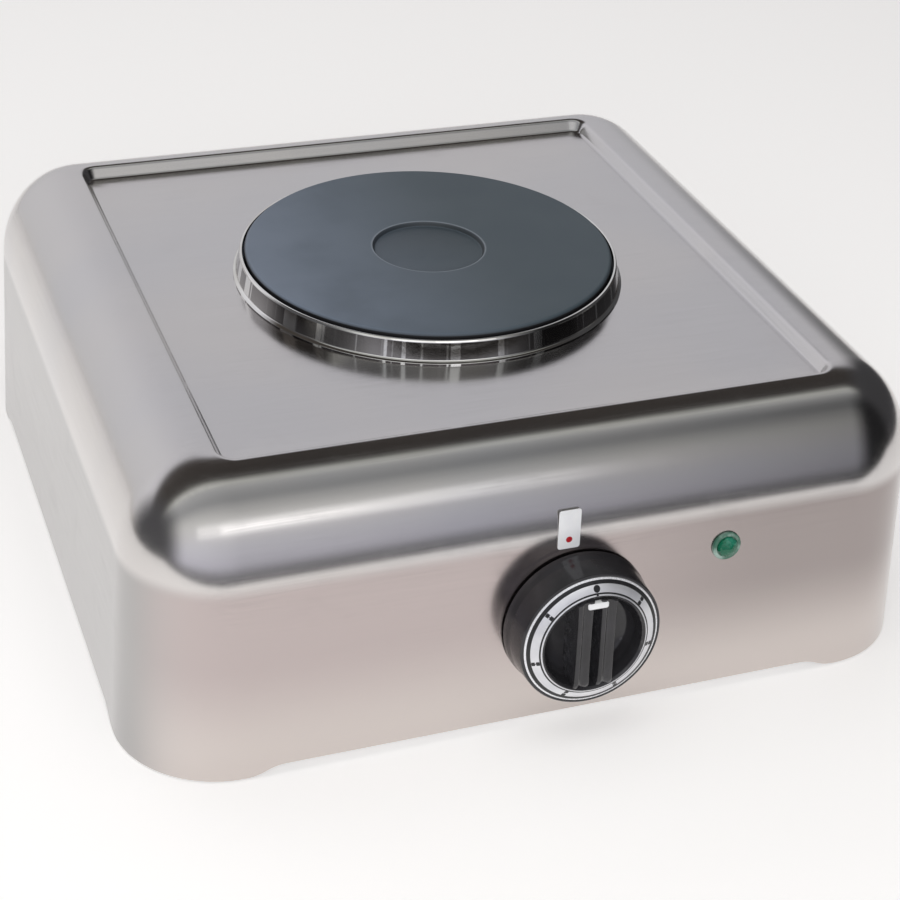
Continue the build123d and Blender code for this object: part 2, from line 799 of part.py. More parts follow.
write("switch_housing", switch_housing(), knob_frame)
write("switch_plate", switch_plate(), knob_frame)
write("switch_rear_cover", switch_rear_cover(), knob_frame)
write("switch_terminals", switch_terminals(), knob_frame)
write("switch_contacts", switch_contacts(), knob_frame)
write("pilot_tabs", pilot_tabs(), knob_frame)
write("switch_shaft", switch_shaft(), knob_frame)
write("switch_cams", switch_cams(), knob_frame)
write("detent_wheel", detent_wheel(), knob_frame)
write("detent_spring", detent_spring(), knob_frame)
write("switch_screws", switch_screws(), knob_frame)

write("knob_body", knob_body(), knob_frame)
write("knob_clamp_ring", knob_clamp_ring(), knob_frame)
write("dial_ring", dial_ring(), knob_frame)
write("pointer_insert", pointer_insert(), knob_frame)

write("lamp_body", lamp_body(), lamp_frame)
write("lamp_lens", lamp_lens(), lamp_frame)
write("lamp_bulb", lamp_bulb(), lamp_frame)
write("lamp_clip", lamp_clip(), lamp_frame)
write("lamp_terminals", lamp_terminals(), lamp_frame)
write("position_label", position_label(), label_frame)
write("label_dot", label_dot(), label_frame)

write("cable_gland", cable_gland(), gland_frame)
write("gland_nut", gland_nut(), gland_frame)
write("mains_block", mains_block())
write("mains_block_screws", mains_block_screws())
write("block_fixings", block_fixings())
write("earth_stud", earth_stud())
write("supply_wires", supply_wires())
write("plate_wires", plate_wires())
write("lamp_wires", lamp_wires())
write("earth_wire", earth_wire())
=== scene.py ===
import json
import math
import bmesh
import bpy
from mathutils import Matrix, Vector


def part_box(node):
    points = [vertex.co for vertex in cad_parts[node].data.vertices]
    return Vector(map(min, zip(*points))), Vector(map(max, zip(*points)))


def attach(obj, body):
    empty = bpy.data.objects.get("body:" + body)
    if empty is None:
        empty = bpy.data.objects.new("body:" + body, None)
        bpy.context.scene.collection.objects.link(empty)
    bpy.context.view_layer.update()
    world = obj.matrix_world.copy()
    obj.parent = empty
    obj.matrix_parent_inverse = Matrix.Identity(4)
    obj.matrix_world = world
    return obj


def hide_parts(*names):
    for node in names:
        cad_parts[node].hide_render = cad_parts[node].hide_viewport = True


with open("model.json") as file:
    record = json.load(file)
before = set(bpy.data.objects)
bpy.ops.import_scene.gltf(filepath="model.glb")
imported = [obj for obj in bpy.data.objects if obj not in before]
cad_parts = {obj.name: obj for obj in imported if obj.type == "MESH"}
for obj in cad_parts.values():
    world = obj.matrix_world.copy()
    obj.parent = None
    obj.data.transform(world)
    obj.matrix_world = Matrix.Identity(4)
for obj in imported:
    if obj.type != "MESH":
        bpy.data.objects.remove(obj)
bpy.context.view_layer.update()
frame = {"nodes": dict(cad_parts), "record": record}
mm = 0.001

# Countertop hot plate. Sizes are in millimetres about the burner's axis, and meshes in metres.
discLow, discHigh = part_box("hotplate_disc")
axisY = (discLow.y + discHigh.y) / 2 / mm
axisShift = Matrix.Translation((0, axisY * mm, 0))
spots = {"knob": (7.3, 54), "lamp": (78.5, 78), "label": (2.0, 100), "gland": (-112.0, 36)}


# small shape tools: a shape is (points, faces)

def joined(*shapes):
    points, faces = [], []
    for morePoints, moreFaces in shapes:
        start = len(points)
        points += [tuple(p) for p in morePoints]
        faces += [tuple(start + i for i in face) for face in moreFaces]
    return points, faces


def moved(shape, matrix):
    points, faces = shape
    return [tuple(matrix @ Vector(p)) for p in points], faces


def bridged(loops):
    # quads between closed loops that have the same number of points
    count = len(loops[0])
    points = [p for loop in loops for p in loop]
    faces = []
    for here in range(0, (len(loops) - 1) * count, count):
        for k in range(count):
            n = (k + 1) % count
            faces.append((here + k, here + n, here + count + n, here + count + k))
    return points, faces


def lathe(section, steps=160, closed=False):
    # turns a (radius, height) section about Z
    points, faces, rings = [], [], []
    for r, z in section:
        start = len(points)
        if r < 1e-6:
            points.append((0, 0, z))
            rings.append([start] * steps)
        else:
            for k in range(steps):
                turn = 2 * math.pi * k / steps
                points.append((r * math.cos(turn), r * math.sin(turn), z))
            rings.append([start + k for k in range(steps)])
    pairs = list(zip(rings, rings[1:]))
    if closed:
        pairs.append((rings[-1], rings[0]))
    for low, high in pairs:
        for k in range(steps):
            n = (k + 1) % steps
            face = tuple(dict.fromkeys((low[k], low[n], high[n], high[k])))
            if len(face) > 2:
                faces.append(face)
    return points, faces


def rounded(corners, closed=False, steps=6):
    # swaps each corner (x, y, radius) of an outline for an arc
    outline, count = [], len(corners)
    for i, (x, y, radius) in enumerate(corners):
        here = Vector((x, y))
        if radius == 0 or (not closed and i in (0, count - 1)):
            outline.append((x, y))
            continue
        before = Vector(corners[i - 1][:2]) - here
        after = Vector(corners[(i + 1) % count][:2]) - here
        half = before.angle(after) / 2
        reach = min(radius / math.tan(half), 0.48 * before.length, 0.48 * after.length)
        bend = reach * math.tan(half)
        before.normalize()
        after.normalize()
        centre = here + (before + after).normalized() * (bend / math.sin(half))
        first, last = here + before * reach - centre, here + after * reach - centre
        turn = math.atan2(first.x * last.y - first.y * last.x, first.dot(last))
        for k in range(steps + 1):
            a = turn * k / steps
            c, s = math.cos(a), math.sin(a)
            outline.append((centre.x + c * first.x - s * first.y, centre.y + s * first.x + c * first.y))
    return outline


def prism(outline, low, high, bevel=0.0, bevelSteps=4):
    # upright block from a flat outline, its top edge eased by bevel
    count = len(outline)
    centre = Vector((sum(p[0] for p in outline) / count, sum(p[1] for p in outline) / count))
    loops = [[(x, y, z) for x, y in outline] for z in (low, high - bevel)]
    for k in range(1, bevelSteps + 1 if bevel else 1):
        a = math.pi / 2 * k / bevelSteps
        inset, rise = bevel * (1 - math.cos(a)), bevel * math.sin(a)
        ring = []
        for x, y in outline:
            away = Vector((x, y)) - centre
            away.length = max(away.length - inset, 0.01)
            ring.append((centre.x + away.x, centre.y + away.y, high - bevel + rise))
        loops.append(ring)
    points, faces = bridged(loops)
    return points, faces + capEnds(len(points), count)


def capEnds(total, count):
    # faces that close the first and the last loop
    return [tuple(reversed(range(count))), tuple(range(total - count, total))]


def shapeMesh(name, shape, place=None):
    # mesh in metres from a shape in millimetres, set in place
    mesh = bpy.data.meshes.new(name)
    mesh.from_pydata([Vector(p) * mm for p in shape[0]], [], shape[1])
    if place is not None:
        mesh.transform(place)
    return mesh


def addObject(name, data):
    thing = bpy.data.objects.new(name, data)
    bpy.context.scene.collection.objects.link(thing)
    return thing


def makePiece(name, shape, look, body, stands=(), place=None, sharp=38):
    piece = addObject(name, shapeMesh(name, shape, place))
    smoothOut(piece.data, sharp)
    dressPiece(piece, look, body, stands)


def smoothOut(mesh, sharp):
    bm = bmesh.new()
    bm.from_mesh(mesh)
    bmesh.ops.remove_doubles(bm, verts=bm.verts, dist=1e-6)
    bmesh.ops.recalc_face_normals(bm, faces=bm.faces)
    for face in bm.faces:
        face.smooth = True
    for edge in bm.edges:
        edge.smooth = edge.calc_face_angle(0) < math.radians(sharp)
    bm.to_mesh(mesh)
    bm.free()


def dressPiece(piece, look, body, stands):
    piece.data.materials.clear()
    piece.data.materials.append(look)
    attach(piece, body)
    if stands:
        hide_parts(*stands)


def baked(piece, name):
    # plain mesh of a piece with its modifiers applied
    bpy.context.view_layer.update()
    dg = bpy.context.evaluated_depsgraph_get()
    mesh = bpy.data.meshes.new_from_object(piece.evaluated_get(dg))
    mesh.name = name
    piece.modifiers.clear()
    piece.data = mesh
    return piece

# shader tools

def feed(tree, socket, value):
    # links a socket to another one, or sets its plain value
    if isinstance(value, bpy.types.NodeSocket):
        tree.links.new(value, socket)
    else:
        socket.default_value = value


def feedAll(tree, node, values):
    for key, value in values.items():
        feed(tree, node.inputs[key], value)


def addNode(tree, kind, settings=None, values=None):
    node = tree.nodes.new(kind)
    for key, value in (settings or {}).items():
        setattr(node, key, value)
    feedAll(tree, node, values or {})
    return node


def computed(tree, operation, first, second=0.0):
    return addNode(tree, "ShaderNodeMath", {"operation": operation}, {0: first, 1: second}).outputs[0]


def ranged(tree, value, low, high, fromLow=0.0, fromHigh=1.0, smooth=False):
    return addNode(
        tree, "ShaderNodeMapRange", {"interpolation_type": "SMOOTHSTEP" if smooth else "LINEAR"},
        {"Value": value, "From Min": fromLow, "From Max": fromHigh, "To Min": low, "To Max": high},
    ).outputs["Result"]


def split(tree, vector):
    return addNode(tree, "ShaderNodeSeparateXYZ", None, {0: vector}).outputs


def combined(tree, **parts):
    return addNode(tree, "ShaderNodeCombineXYZ", None, parts).outputs[0]


def product(tree, vector, factors):
    node = addNode(tree, "ShaderNodeVectorMath", {"operation": "MULTIPLY"}, {0: vector, 1: factors})
    return node.outputs[0]


def flatLength(tree, vector):
    # distance from the Z axis
    flat = product(tree, vector, (1, 1, 0))
    return addNode(tree, "ShaderNodeVectorMath", {"operation": "LENGTH"}, {0: flat}).outputs["Value"]


def surfaceNormal(tree):
    return addNode(tree, "ShaderNodeNewGeometry").outputs["Normal"]


def noised(tree, settings=None, **values):
    return addNode(tree, "ShaderNodeTexNoise", settings, values).outputs["Fac"]


def newGroup(name, inputs, outputs):
    # an input with no value is a vector, and every output is a plain value
    group = bpy.data.node_groups.new(name, "ShaderNodeTree")
    for label, value in inputs.items():
        kind = "NodeSocketVector" if value is None else "NodeSocketFloat"
        socket = group.interface.new_socket(name=label, in_out="INPUT", socket_type=kind)
        if value is not None:
            socket.default_value = value
    for label in outputs:
        group.interface.new_socket(name=label, in_out="OUTPUT", socket_type="NodeSocketFloat")
    return group, group.nodes.new("NodeGroupInput").outputs, group.nodes.new("NodeGroupOutput").inputs


def brushedGrainGroup():
    # hairlines that run along X on the top and front and along Y on the side walls
    group, given, made = newGroup(
        "brushedGrain", {"Vector": None, "Normal": None, "Fineness": 1500, "Run": 24},
        ("Lines", "Cloud", "Smudge"),
    )
    point = given["Vector"]
    lines = []
    for along in ("X", "Y"):
        scale = combined(group, **{axis: given["Run" if axis == along else "Fineness"] for axis in "XYZ"})
        lines.append(noised(group, Vector=product(group, point, scale), Scale=1.0, Detail=3.0, Roughness=0.6))
    side = computed(group, "ABSOLUTE", split(group, given["Normal"])["X"])
    turnOver = ranged(group, side, 0.0, 1.0, 0.6, 0.8, True)
    sources = {"Factor": turnOver, "A": lines[0], "B": lines[1]}
    mix = addNode(group, "ShaderNodeMix", {"data_type": "FLOAT"}, sources)
    feed(group, made["Lines"], mix.outputs["Result"])
    feed(group, made["Cloud"], noised(group, Vector=point, Scale=9.0, Detail=2.0, Roughness=0.45))
    smudge = noised(group, Vector=point, Scale=38, Detail=5.0, Roughness=0.65, Distortion=0.8)
    feed(group, made["Smudge"], ranged(group, smudge, 0.0, 1.0, 0.52, 0.74, True))
    return group


def speckGroup():
    # fine grain and slow mottling for cast, moulded and fired surfaces
    sizes = {"Vector": None, "Fine": 900, "Broad": 40}
    group, given, made = newGroup("speck", sizes, ("Grain", "Mottle"))
    for label, detail, target in (("Fine", 3.0, "Grain"), ("Broad", 4.0, "Mottle")):
        noise = noised(group, Vector=given["Vector"], Scale=given[label], Detail=detail, Roughness=0.55)
        feed(group, made[target], noise)
    return group


def paintedEdgeHighlightGroup():
    # mask that is 1 on sharp outer edges, broken up by a fine noise, where a painted highlight goes
    group, given, made = newGroup("paintedEdgeHighlight", {"Vector": None}, ("Mask",))
    pointiness = addNode(group, "ShaderNodeNewGeometry").outputs["Pointiness"]
    spread = ranged(group, pointiness, 0.0, 1.0, 0.52, 0.62, True)
    noise = noised(group, Vector=given["Vector"], Scale=260, Detail=4.0)
    broken = ranged(group, noise, 0.0, 1.0, 0.35, 0.65)
    feed(group, made["Mask"], computed(group, "MULTIPLY", spread, broken))
    return group


brushedGrain = brushedGrainGroup()
speck = speckGroup()
paintedEdgeHighlight = paintedEdgeHighlightGroup()


# materials

def newLook(name):
    look = bpy.data.materials.new(name)
    look.use_nodes = True
    return look, look.node_tree, look.node_tree.nodes["Principled BSDF"]


def placeGroup(tree, group, **values):
    node = tree.nodes.new("ShaderNodeGroup")
    node.node_tree = group
    feedAll(tree, node, values)
    return node.outputs


def objectPoint(tree, centre=(0, 0, 0)):
    coords = addNode(tree, "ShaderNodeTexCoord").outputs["Object"]
    mapping = addNode(
        tree, "ShaderNodeMapping", {"vector_type": "TEXTURE"}, {"Vector": coords, "Location": centre}
    )
    return mapping.outputs["Vector"]


def mixColours(tree, factor, first, second):
    node = addNode(tree, "ShaderNodeMix", {"data_type": "RGBA"})
    for label, kind, value in (("A", "RGBA", first), ("B", "RGBA", second), ("Factor", "VALUE", factor)):
        socket = next(s for s in node.inputs if s.name == label and s.type == kind)
        feed(tree, socket, (*value, 1) if isinstance(value, tuple) else value)
    return next(s for s in node.outputs if s.type == "RGBA")


def mottled(tree, grain, low, high, first, second):
    # two colours mixed by the slow mottling
    return mixColours(tree, ranged(tree, grain["Mottle"], 0.0, 1.0, low, high, True), first, second)


def bumped(tree, bsdf, heights):
    # bumps stacked from (height, distance in metres, strength)
    normal = None
    for height, distance, strength in heights:
        values = {"Height": height, "Distance": distance, "Strength": strength}
        node = addNode(tree, "ShaderNodeBump", None, values)
        if normal is not None:
            feed(tree, node.inputs["Normal"], normal)
        normal = node.outputs["Normal"]
    feed(tree, bsdf.inputs["Normal"], normal)


# the front wall colours are a painted warm floor reflection with painted light and shade, and the left wall
# colour is painted shade
steel = {
    "cool": (0.66, 0.645, 0.645), "warm": (0.69, 0.665, 0.65), "groove": (0.42, 0.41, 0.40),
    "frontLeftPaintedLight": (0.53, 0.46, 0.45), "frontRightPaintedShade": (0.38, 0.335, 0.325), "frontLowPaintedLight": (0.68, 0.62, 0.59),
    "left": (0.46, 0.45, 0.445), "smooth": 0.15, "rough": 0.22, "fineness": 1700,
    "waveDepth": 0.0012, "waviness": 0.03, "lineHeight": 0.00002, "lineDepth": 0.12,
}


def satinSteelLook():
    # brushed steel; below the crown the front wall's warm tone is a painted floor reflection, with painted
    # light at its left and bottom and painted shade at its right, and the left wall is darkened as painted
    # shade
    look, tree, bsdf = newLook("satinSteel")
    point, normal = objectPoint(tree), surfaceNormal(tree)
    grain = placeGroup(tree, brushedGrain, Vector=point, Normal=normal, Fineness=steel["fineness"])
    cloud, lines = grain["Cloud"], grain["Lines"]
    facing, spot = split(tree, normal), split(tree, point)
    plain = mixColours(tree, ranged(tree, cloud, 0.0, 1.0, 0.35, 0.65, True), steel["cool"], steel["warm"])
    # painted light and shade: the front wall goes from lighter at the left to darker at the right, and
    # lighter again towards the bottom
    shadeToRight = ranged(tree, spot["X"], 0.0, 1.0, -0.03, 0.11, True)
    front = mixColours(tree, shadeToRight, steel["frontLeftPaintedLight"], steel["frontRightPaintedShade"])
    upwards = ranged(tree, spot["Z"], 0.0, 1.0, 0.012, 0.062, True)
    front = mixColours(tree, upwards, steel["frontLowPaintedLight"], front)
    belowCrown = ranged(tree, spot["Z"], 1.0, 0.0, 0.091, 0.099, True)
    paintedFrontTint = computed(tree, "MULTIPLY", ranged(tree, facing["Y"], 1.0, 0.0, -0.97, -0.30, True), belowCrown)
    # painted shade: the left wall below the crown is darkened
    paintedLeftShade = computed(tree, "MULTIPLY", ranged(tree, facing["X"], 1.0, 0.0, -0.93, -0.25, True), belowCrown)
    tint = mixColours(tree, paintedFrontTint, mixColours(tree, paintedLeftShade, plain, steel["left"]), front)
    rough = ranged(tree, lines, steel["smooth"], steel["rough"], 0.3, 0.7)
    feedAll(tree, bsdf, {
        "Base Color": mixColours(tree, ranged(tree, lines, 0.0, 0.09), tint, steel["groove"]),
        "Roughness": computed(tree, "ADD", rough, ranged(tree, grain["Smudge"], 0.0, 0.035)), "Metallic": 1.0,
    })
    bumped(tree, bsdf, [
        (cloud, steel["waveDepth"], steel["waviness"]), (lines, steel["lineHeight"], steel["lineDepth"]),
    ])
    return look


def speckLook(name, colour, second, roughness, fine=900, broad=40, bump=0.1, bumpSize=0.0001, metal=0.0,
              edgeHighlight=None, spread=0.06, coat=0.0):
    look, tree, bsdf = newLook(name)
    point = objectPoint(tree)
    grain = placeGroup(tree, speck, Vector=point, Fine=fine, Broad=broad)
    tint = mottled(tree, grain, 0.35, 0.65, colour, second)
    # painted highlight: sharp outer edges are lightened
    if edgeHighlight:
        tint = mixColours(tree, placeGroup(tree, paintedEdgeHighlight, Vector=point)["Mask"], tint, edgeHighlight)
    rough = ranged(tree, grain["Grain"], roughness - spread, roughness + spread, 0.3, 0.7)
    feedAll(tree, bsdf, {"Base Color": tint, "Roughness": rough, "Metallic": metal, "Coat Weight": coat})
    bumped(tree, bsdf, [(grain["Grain"], bumpSize, bump)])
    return look


# the left and right colours are painted light and painted shade across the disc's top, the dimple colour is
# painted shade, the rim colour a painted highlight and the side colour painted shade; the stain colour is
# real
iron = {
    "left": (0.175, 0.210, 0.268), "right": (0.066, 0.088, 0.104), "stain": (0.078, 0.096, 0.118),
    "hollow": (0.010, 0.014, 0.016), "rim": (0.30, 0.33, 0.37), "side": (0.006, 0.006, 0.007),
    "rimRadius": 0.0275,
}


def blackenedIronLook():
    # seasoned cast iron with faint turning marks about the burner's axis; its colour also carries painted
    # light and shade across the top, painted shade in the dimple and on upright faces, and a painted
    # highlight on the dimple's rim
    look, tree, bsdf = newLook("blackenedIron")
    point = objectPoint(tree, (0, axisY * mm, 0))
    grain = placeGroup(tree, speck, Vector=point, Fine=1500, Broad=13)
    lathed = addNode(
        tree, "ShaderNodeTexWave", {"wave_type": "RINGS", "rings_direction": "Z"},
        {"Vector": point, "Scale": 420, "Distortion": 1.2, "Detail": 2.0, "Detail Scale": 0.02},
    ).outputs["Fac"]
    spot, away = split(tree, point), flatLength(tree, point)
    # painted light and shade: the top is lighter and bluer at the left and darker at the right
    shadeToRight = ranged(tree, spot["X"], 0.0, 1.0, -0.095, 0.035, True)
    tint = mixColours(tree, shadeToRight, iron["left"], iron["right"])
    stains = ranged(tree, grain["Mottle"], 0.0, 0.45, 0.45, 0.75, True)
    tint = mixColours(tree, stains, tint, iron["stain"])
    # painted shade: the dimple is darkened towards its back
    inside = ranged(tree, away, 0.40, 0.0, 0.0255, 0.0272, True)
    hollow = computed(tree, "MULTIPLY", inside, ranged(tree, spot["Y"], 0.35, 1.0, -0.02, 0.024, True))
    tint = mixColours(tree, hollow, tint, iron["hollow"])
    # painted highlight: a thin light ring along the dimple's edge
    fromRim = computed(tree, "ABSOLUTE", computed(tree, "SUBTRACT", away, iron["rimRadius"]))
    tint = mixColours(tree, ranged(tree, fromRim, 0.50, 0.0, 0.0002, 0.0008, True), tint, iron["rim"])
    # painted shade: upright faces of the disc are made nearly black
    paintedSideShade = ranged(tree, split(tree, surfaceNormal(tree))["Z"], 1.0, 0.0, 0.35, 0.85, True)
    rough = ranged(tree, grain["Mottle"], 0.50, 0.60, 0.35, 0.65)
    feedAll(tree, bsdf, {
        "Base Color": mixColours(tree, paintedSideShade, tint, iron["side"]), "Specular IOR Level": 0.62,
        "Roughness": computed(tree, "ADD", rough, ranged(tree, lathed, -0.02, 0.02)),
    })
    bumped(tree, bsdf, [(lathed, 0.00003, 0.5), (grain["Grain"], 0.00006, 0.35)])
    return look


def polishedRingLook():
    # bright rim over an upright wall whose dark colour with light streaks is a painted reflection with
    # painted glints
    look, tree, bsdf = newLook("polishedRing")
    point = objectPoint(tree, (0, axisY * mm, 0))
    grain = placeGroup(tree, speck, Vector=point, Fine=700, Broad=30)
    rim = mottled(tree, grain, 0.4, 0.7, (0.86, 0.85, 0.83), (0.72, 0.70, 0.66))
    # painted reflection: upright faces take a dark colour broken by light streaks by angle, standing in for
    # reflected surroundings and glints
    upright = ranged(tree, split(tree, surfaceNormal(tree))["Z"], 1.0, 0.0, 0.08, 0.42, True)
    spot = split(tree, point)
    turn = computed(tree, "ARCTAN2", spot["Y"], spot["X"])
    paintedGlints = noised(tree, {"noise_dimensions": "1D"}, W=turn, Scale=7.0, Detail=3.0, Roughness=0.7)
    paintedGlints = ranged(tree, paintedGlints, 0.0, 1.0, 0.53, 0.60, True)
    wall = mixColours(tree, paintedGlints, (0.11, 0.10, 0.10), (0.95, 0.95, 0.93))
    rough = ranged(tree, grain["Grain"], 0.03, 0.09, 0.3, 0.7)
    tint = mixColours(tree, upright, rim, wall)
    feedAll(tree, bsdf, {"Base Color": tint, "Roughness": rough, "Metallic": 1.0})
    bumped(tree, bsdf, [(grain["Mottle"], 0.0006, 0.25)])
    return look


def stripedSleeveLook():
    # green sleeve with a yellow stripe
    look, tree, bsdf = newLook("earthSleeve")
    wave = addNode(
        tree, "ShaderNodeTexWave", {"wave_type": "BANDS", "bands_direction": "DIAGONAL"},
        {"Vector": objectPoint(tree), "Scale": 60},
    )
    stripe = ranged(tree, wave.outputs["Fac"], 0.0, 1.0, 0.48, 0.52)
    tint = mixColours(tree, stripe, (0.05, 0.25, 0.06), (0.75, 0.62, 0.04))
    feedAll(tree, bsdf, {"Base Color": tint, "Roughness": 0.45})
    return look


def clearLook(name, colour, second, roughness, transmission, emission=0.0):
    look, tree, bsdf = newLook(name)
    grain = placeGroup(tree, speck, Vector=objectPoint(tree), Fine=500, Broad=160)
    feedAll(tree, bsdf, {
        "Base Color": mottled(tree, grain, 0.4, 0.6, colour, second),
        "Roughness": ranged(tree, grain["Grain"], roughness * 0.7, roughness * 1.3, 0.3, 0.7),
        "Transmission Weight": transmission, "IOR": 1.49,
        "Emission Strength": emission, "Emission Color": (*colour, 1),
    })
    return look


looks = {
    "brushed_stainless": satinSteelLook(),
    "galvanised_sheet": speckLook(
        "zincSheet", (0.50, 0.51, 0.52), (0.60, 0.61, 0.62), 0.42, 400, 60, 0.15, 0.0001, 1.0,
    ),
    "zinc_steel": speckLook(
        "zincPlate", (0.60, 0.60, 0.61), (0.68, 0.67, 0.64), 0.28, 1200, 120, 0.1, 0.00005, 1.0,
    ),
    "black_rubber": speckLook(
        "footRubber", (0.018, 0.018, 0.019), (0.030, 0.030, 0.030), 0.72, 900, 90, 0.4, 0.0001,
    ),
    "cast_iron_black": blackenedIronLook(),
    "polished_ring": polishedRingLook(),
    "resistance_wire": speckLook(
        "coilWire", (0.24, 0.20, 0.17), (0.34, 0.28, 0.23), 0.55, 900, 200, 0.3, 0.0001, 1.0,
    ),
    "magnesia": speckLook("magnesiaFill", (0.72, 0.69, 0.63), (0.80, 0.78, 0.73), 0.9, 700, 60, 0.6, 0.0002),
    "steatite": speckLook(
        "steatiteBody", (0.76, 0.72, 0.63), (0.82, 0.79, 0.71), 0.6, 1200, 50, 0.25, 0.0001,
    ),
    "tab_brass": speckLook(
        "tabBrass", (0.68, 0.50, 0.20), (0.60, 0.42, 0.17), 0.3, 900, 150, 0.15, 0.00005, 1.0,
    ),
    "cam_plastic": speckLook("camPlastic", (0.70, 0.67, 0.58), (0.66, 0.62, 0.52), 0.45, 900, 60),
    # the lighter edge colour of the knob is a painted highlight
    "knob_plastic": speckLook(
        "glossBlack", (0.024, 0.023, 0.025), (0.032, 0.031, 0.034), 0.15, 1600, 70, 0.12, 0.00004,
        edgeHighlight=(0.10, 0.10, 0.11), spread=0.04,
    ),
    "dial_metal": speckLook(
        "dialMetal", (0.70, 0.70, 0.73), (0.80, 0.80, 0.82), 0.34, 2200, 60, 0.12, 0.00003, 0.6,
    ),
    "white_plastic": speckLook(
        "whitePlastic", (0.86, 0.86, 0.87), (0.90, 0.90, 0.90), 0.22, 1500, 90, 0.06, 0.00004, coat=0.3,
    ),
    "red_print": speckLook(
        "redPrint", (0.40, 0.008, 0.016), (0.46, 0.014, 0.022), 0.35, 1500, 300, 0.1, 0.00003,
    ),
    "lamp_bezel": speckLook(
        "lampBezel", (0.05, 0.15, 0.10), (0.34, 0.46, 0.40), 0.20, 1500, 150, 0.1, 0.00004,
    ),
    "green_lens": clearLook("greenLens", (0.010, 0.19, 0.10), (0.05, 0.34, 0.22), 0.08, 0.45, 0.05),
    "neon_glass": clearLook("neonGlass", (0.90, 0.90, 0.88), (0.85, 0.87, 0.86), 0.05, 0.9),
    "gland_plastic": speckLook(
        "glandNylon", (0.020, 0.020, 0.021), (0.030, 0.030, 0.031), 0.5, 1200, 90, 0.3, 0.00008,
    ),
    "block_plastic": speckLook("blockPlastic", (0.78, 0.78, 0.74), (0.72, 0.72, 0.68), 0.45, 900, 60),
    "wire_insulation": speckLook(
        "braidSleeve", (0.66, 0.64, 0.58), (0.56, 0.53, 0.47), 0.7, 1800, 200, 0.6, 0.0002,
    ),
    "earth_insulation": stripedSleeveLook(),
}
inkBlack = speckLook("dialInk", (0.008, 0.008, 0.009), (0.014, 0.014, 0.015), 0.38, 1500, 200, 0.08, 0.00003)
inkWhite = speckLook("rimWhite", (0.80, 0.80, 0.82), (0.86, 0.86, 0.88), 0.26, 1500, 200, 0.06, 0.00003, 0.3)
print("materials made:", len(bpy.data.materials))

for part in frame["record"]["subparts"]:
    node = frame["nodes"][part["node"]]
    node.data.materials.clear()
    node.data.materials.append(looks[part["material_slot"]])
print("frame dressed:", len(frame["nodes"]))


# pressed cover

cover = {
    "height": 140, "draft": 3.3, "cornerX": 142, "cornerY": 140, "crownCorner": 40,
    "crownRadius": 38, "crownDrop": 46, "sheet": 1.0, "footGap": 1.5, "lift": 4.0, "liftRun": 18,
    "recessX": 142, "recessFront": 150, "recessBack": 145.5, "recessCorner": 8.0,
    "recessDepth": 6.0, "recessRun": 3.3, "crestEase": 1.8, "floorEase": 1.2, "holeRadius": 88.6,
    "flangeWidth": 15, "flangeLength": 230, "flangeZ": 6.8,
    "wallRows": 7, "crownRows": 36, "crownEnd": 14, "borderRows": 10,
}
draft = math.radians(cover["draft"])
footCorner = cover["crownCorner"] + cover["height"] * math.tan(draft)
footDepth = cover["cornerY"] + footCorner
# the crown is a quarter of an ellipse, a little taller than it is wide, that runs on into the wall
ballZ = cover["height"] - cover["crownDrop"]
tangentTurn = math.atan(cover["crownRadius"] / (cover["crownDrop"] * math.tan(draft)))
wallTop = ballZ + cover["crownDrop"] * math.cos(tangentTurn)
ballReach = footCorner - wallTop * math.tan(draft) - cover["crownRadius"] * math.sin(tangentTurn)
deckZ = cover["height"] - cover["recessDepth"]


def wallMatrix(x, z, front=True):
    # frame on the front or rear wall, in metres: X across, Y up the wall, Z outwards
    away = -1 if front else 1
    across = Vector((1 if front else -1, 0, 0))
    outwards = Vector((0, away * math.cos(draft), math.sin(draft)))
    upwards = outwards.cross(across)
    spot = Vector((x, away * (footDepth - z * math.tan(draft)) + axisY, z)) * mm
    return Matrix.Translation(spot) @ Matrix((across, upwards, outwards)).transposed().to_4x4()


def sideStops():
    # places along a straight side as shares of its half length, close together at the corner feet's curves
    middle = [k / 8 for k in range(-7, 8)]
    bend = 1 - cover["liftRun"] / cover["cornerY"]
    steps = [bend + (1 - bend) * k / 10 for k in range(11)]
    return [-s for s in reversed(steps)] + [m * bend for m in middle] + steps[:-1]


def softLoop(right, front, back, corner, cornerSteps=22):
    # rounded rectangle, anticlockwise from the front left corner
    stops = sideStops()
    loop = []
    left = -right
    sides = (
        ((left + corner, -front), (right - corner, -front), (right - corner, corner - front), -90),
        ((right, corner - front), (right, back - corner), (right - corner, back - corner), 0),
        ((right - corner, back), (left + corner, back), (left + corner, back - corner), 90),
        ((left, back - corner), (left, corner - front), (left + corner, corner - front), 180),
    )
    for (x0, y0), (x1, y1), (cx, cy), turn in sides:
        for s in stops:
            t = (s + 1) / 2
            loop.append((x0 + (x1 - x0) * t, y0 + (y1 - y0) * t))
        for k in range(cornerSteps):
            a = math.radians(turn + 90 * k / cornerSteps)
            loop.append((cx + corner * math.cos(a), cy + corner * math.sin(a)))
    return loop


def sweepLoop(reach):
    return softLoop(cover["cornerX"] + reach, cover["cornerY"] + reach, cover["cornerY"] + reach, reach)


def recessLoop(grow):
    return softLoop(*(cover["recess" + part] + grow for part in ("X", "Front", "Back", "Corner")))


def crownZ(x, y):
    # height of the crown over a point
    outX, outY = abs(x) - cover["cornerX"], abs(y) - cover["cornerY"]
    reach = math.hypot(outX, outY) if outX > 0 and outY > 0 else max(outX, outY)
    beyond = reach - ballReach
    if beyond <= 0:
        return cover["height"]
    return ballZ + cover["crownDrop"] * math.sqrt(max(1 - (beyond / cover["crownRadius"]) ** 2, 0))


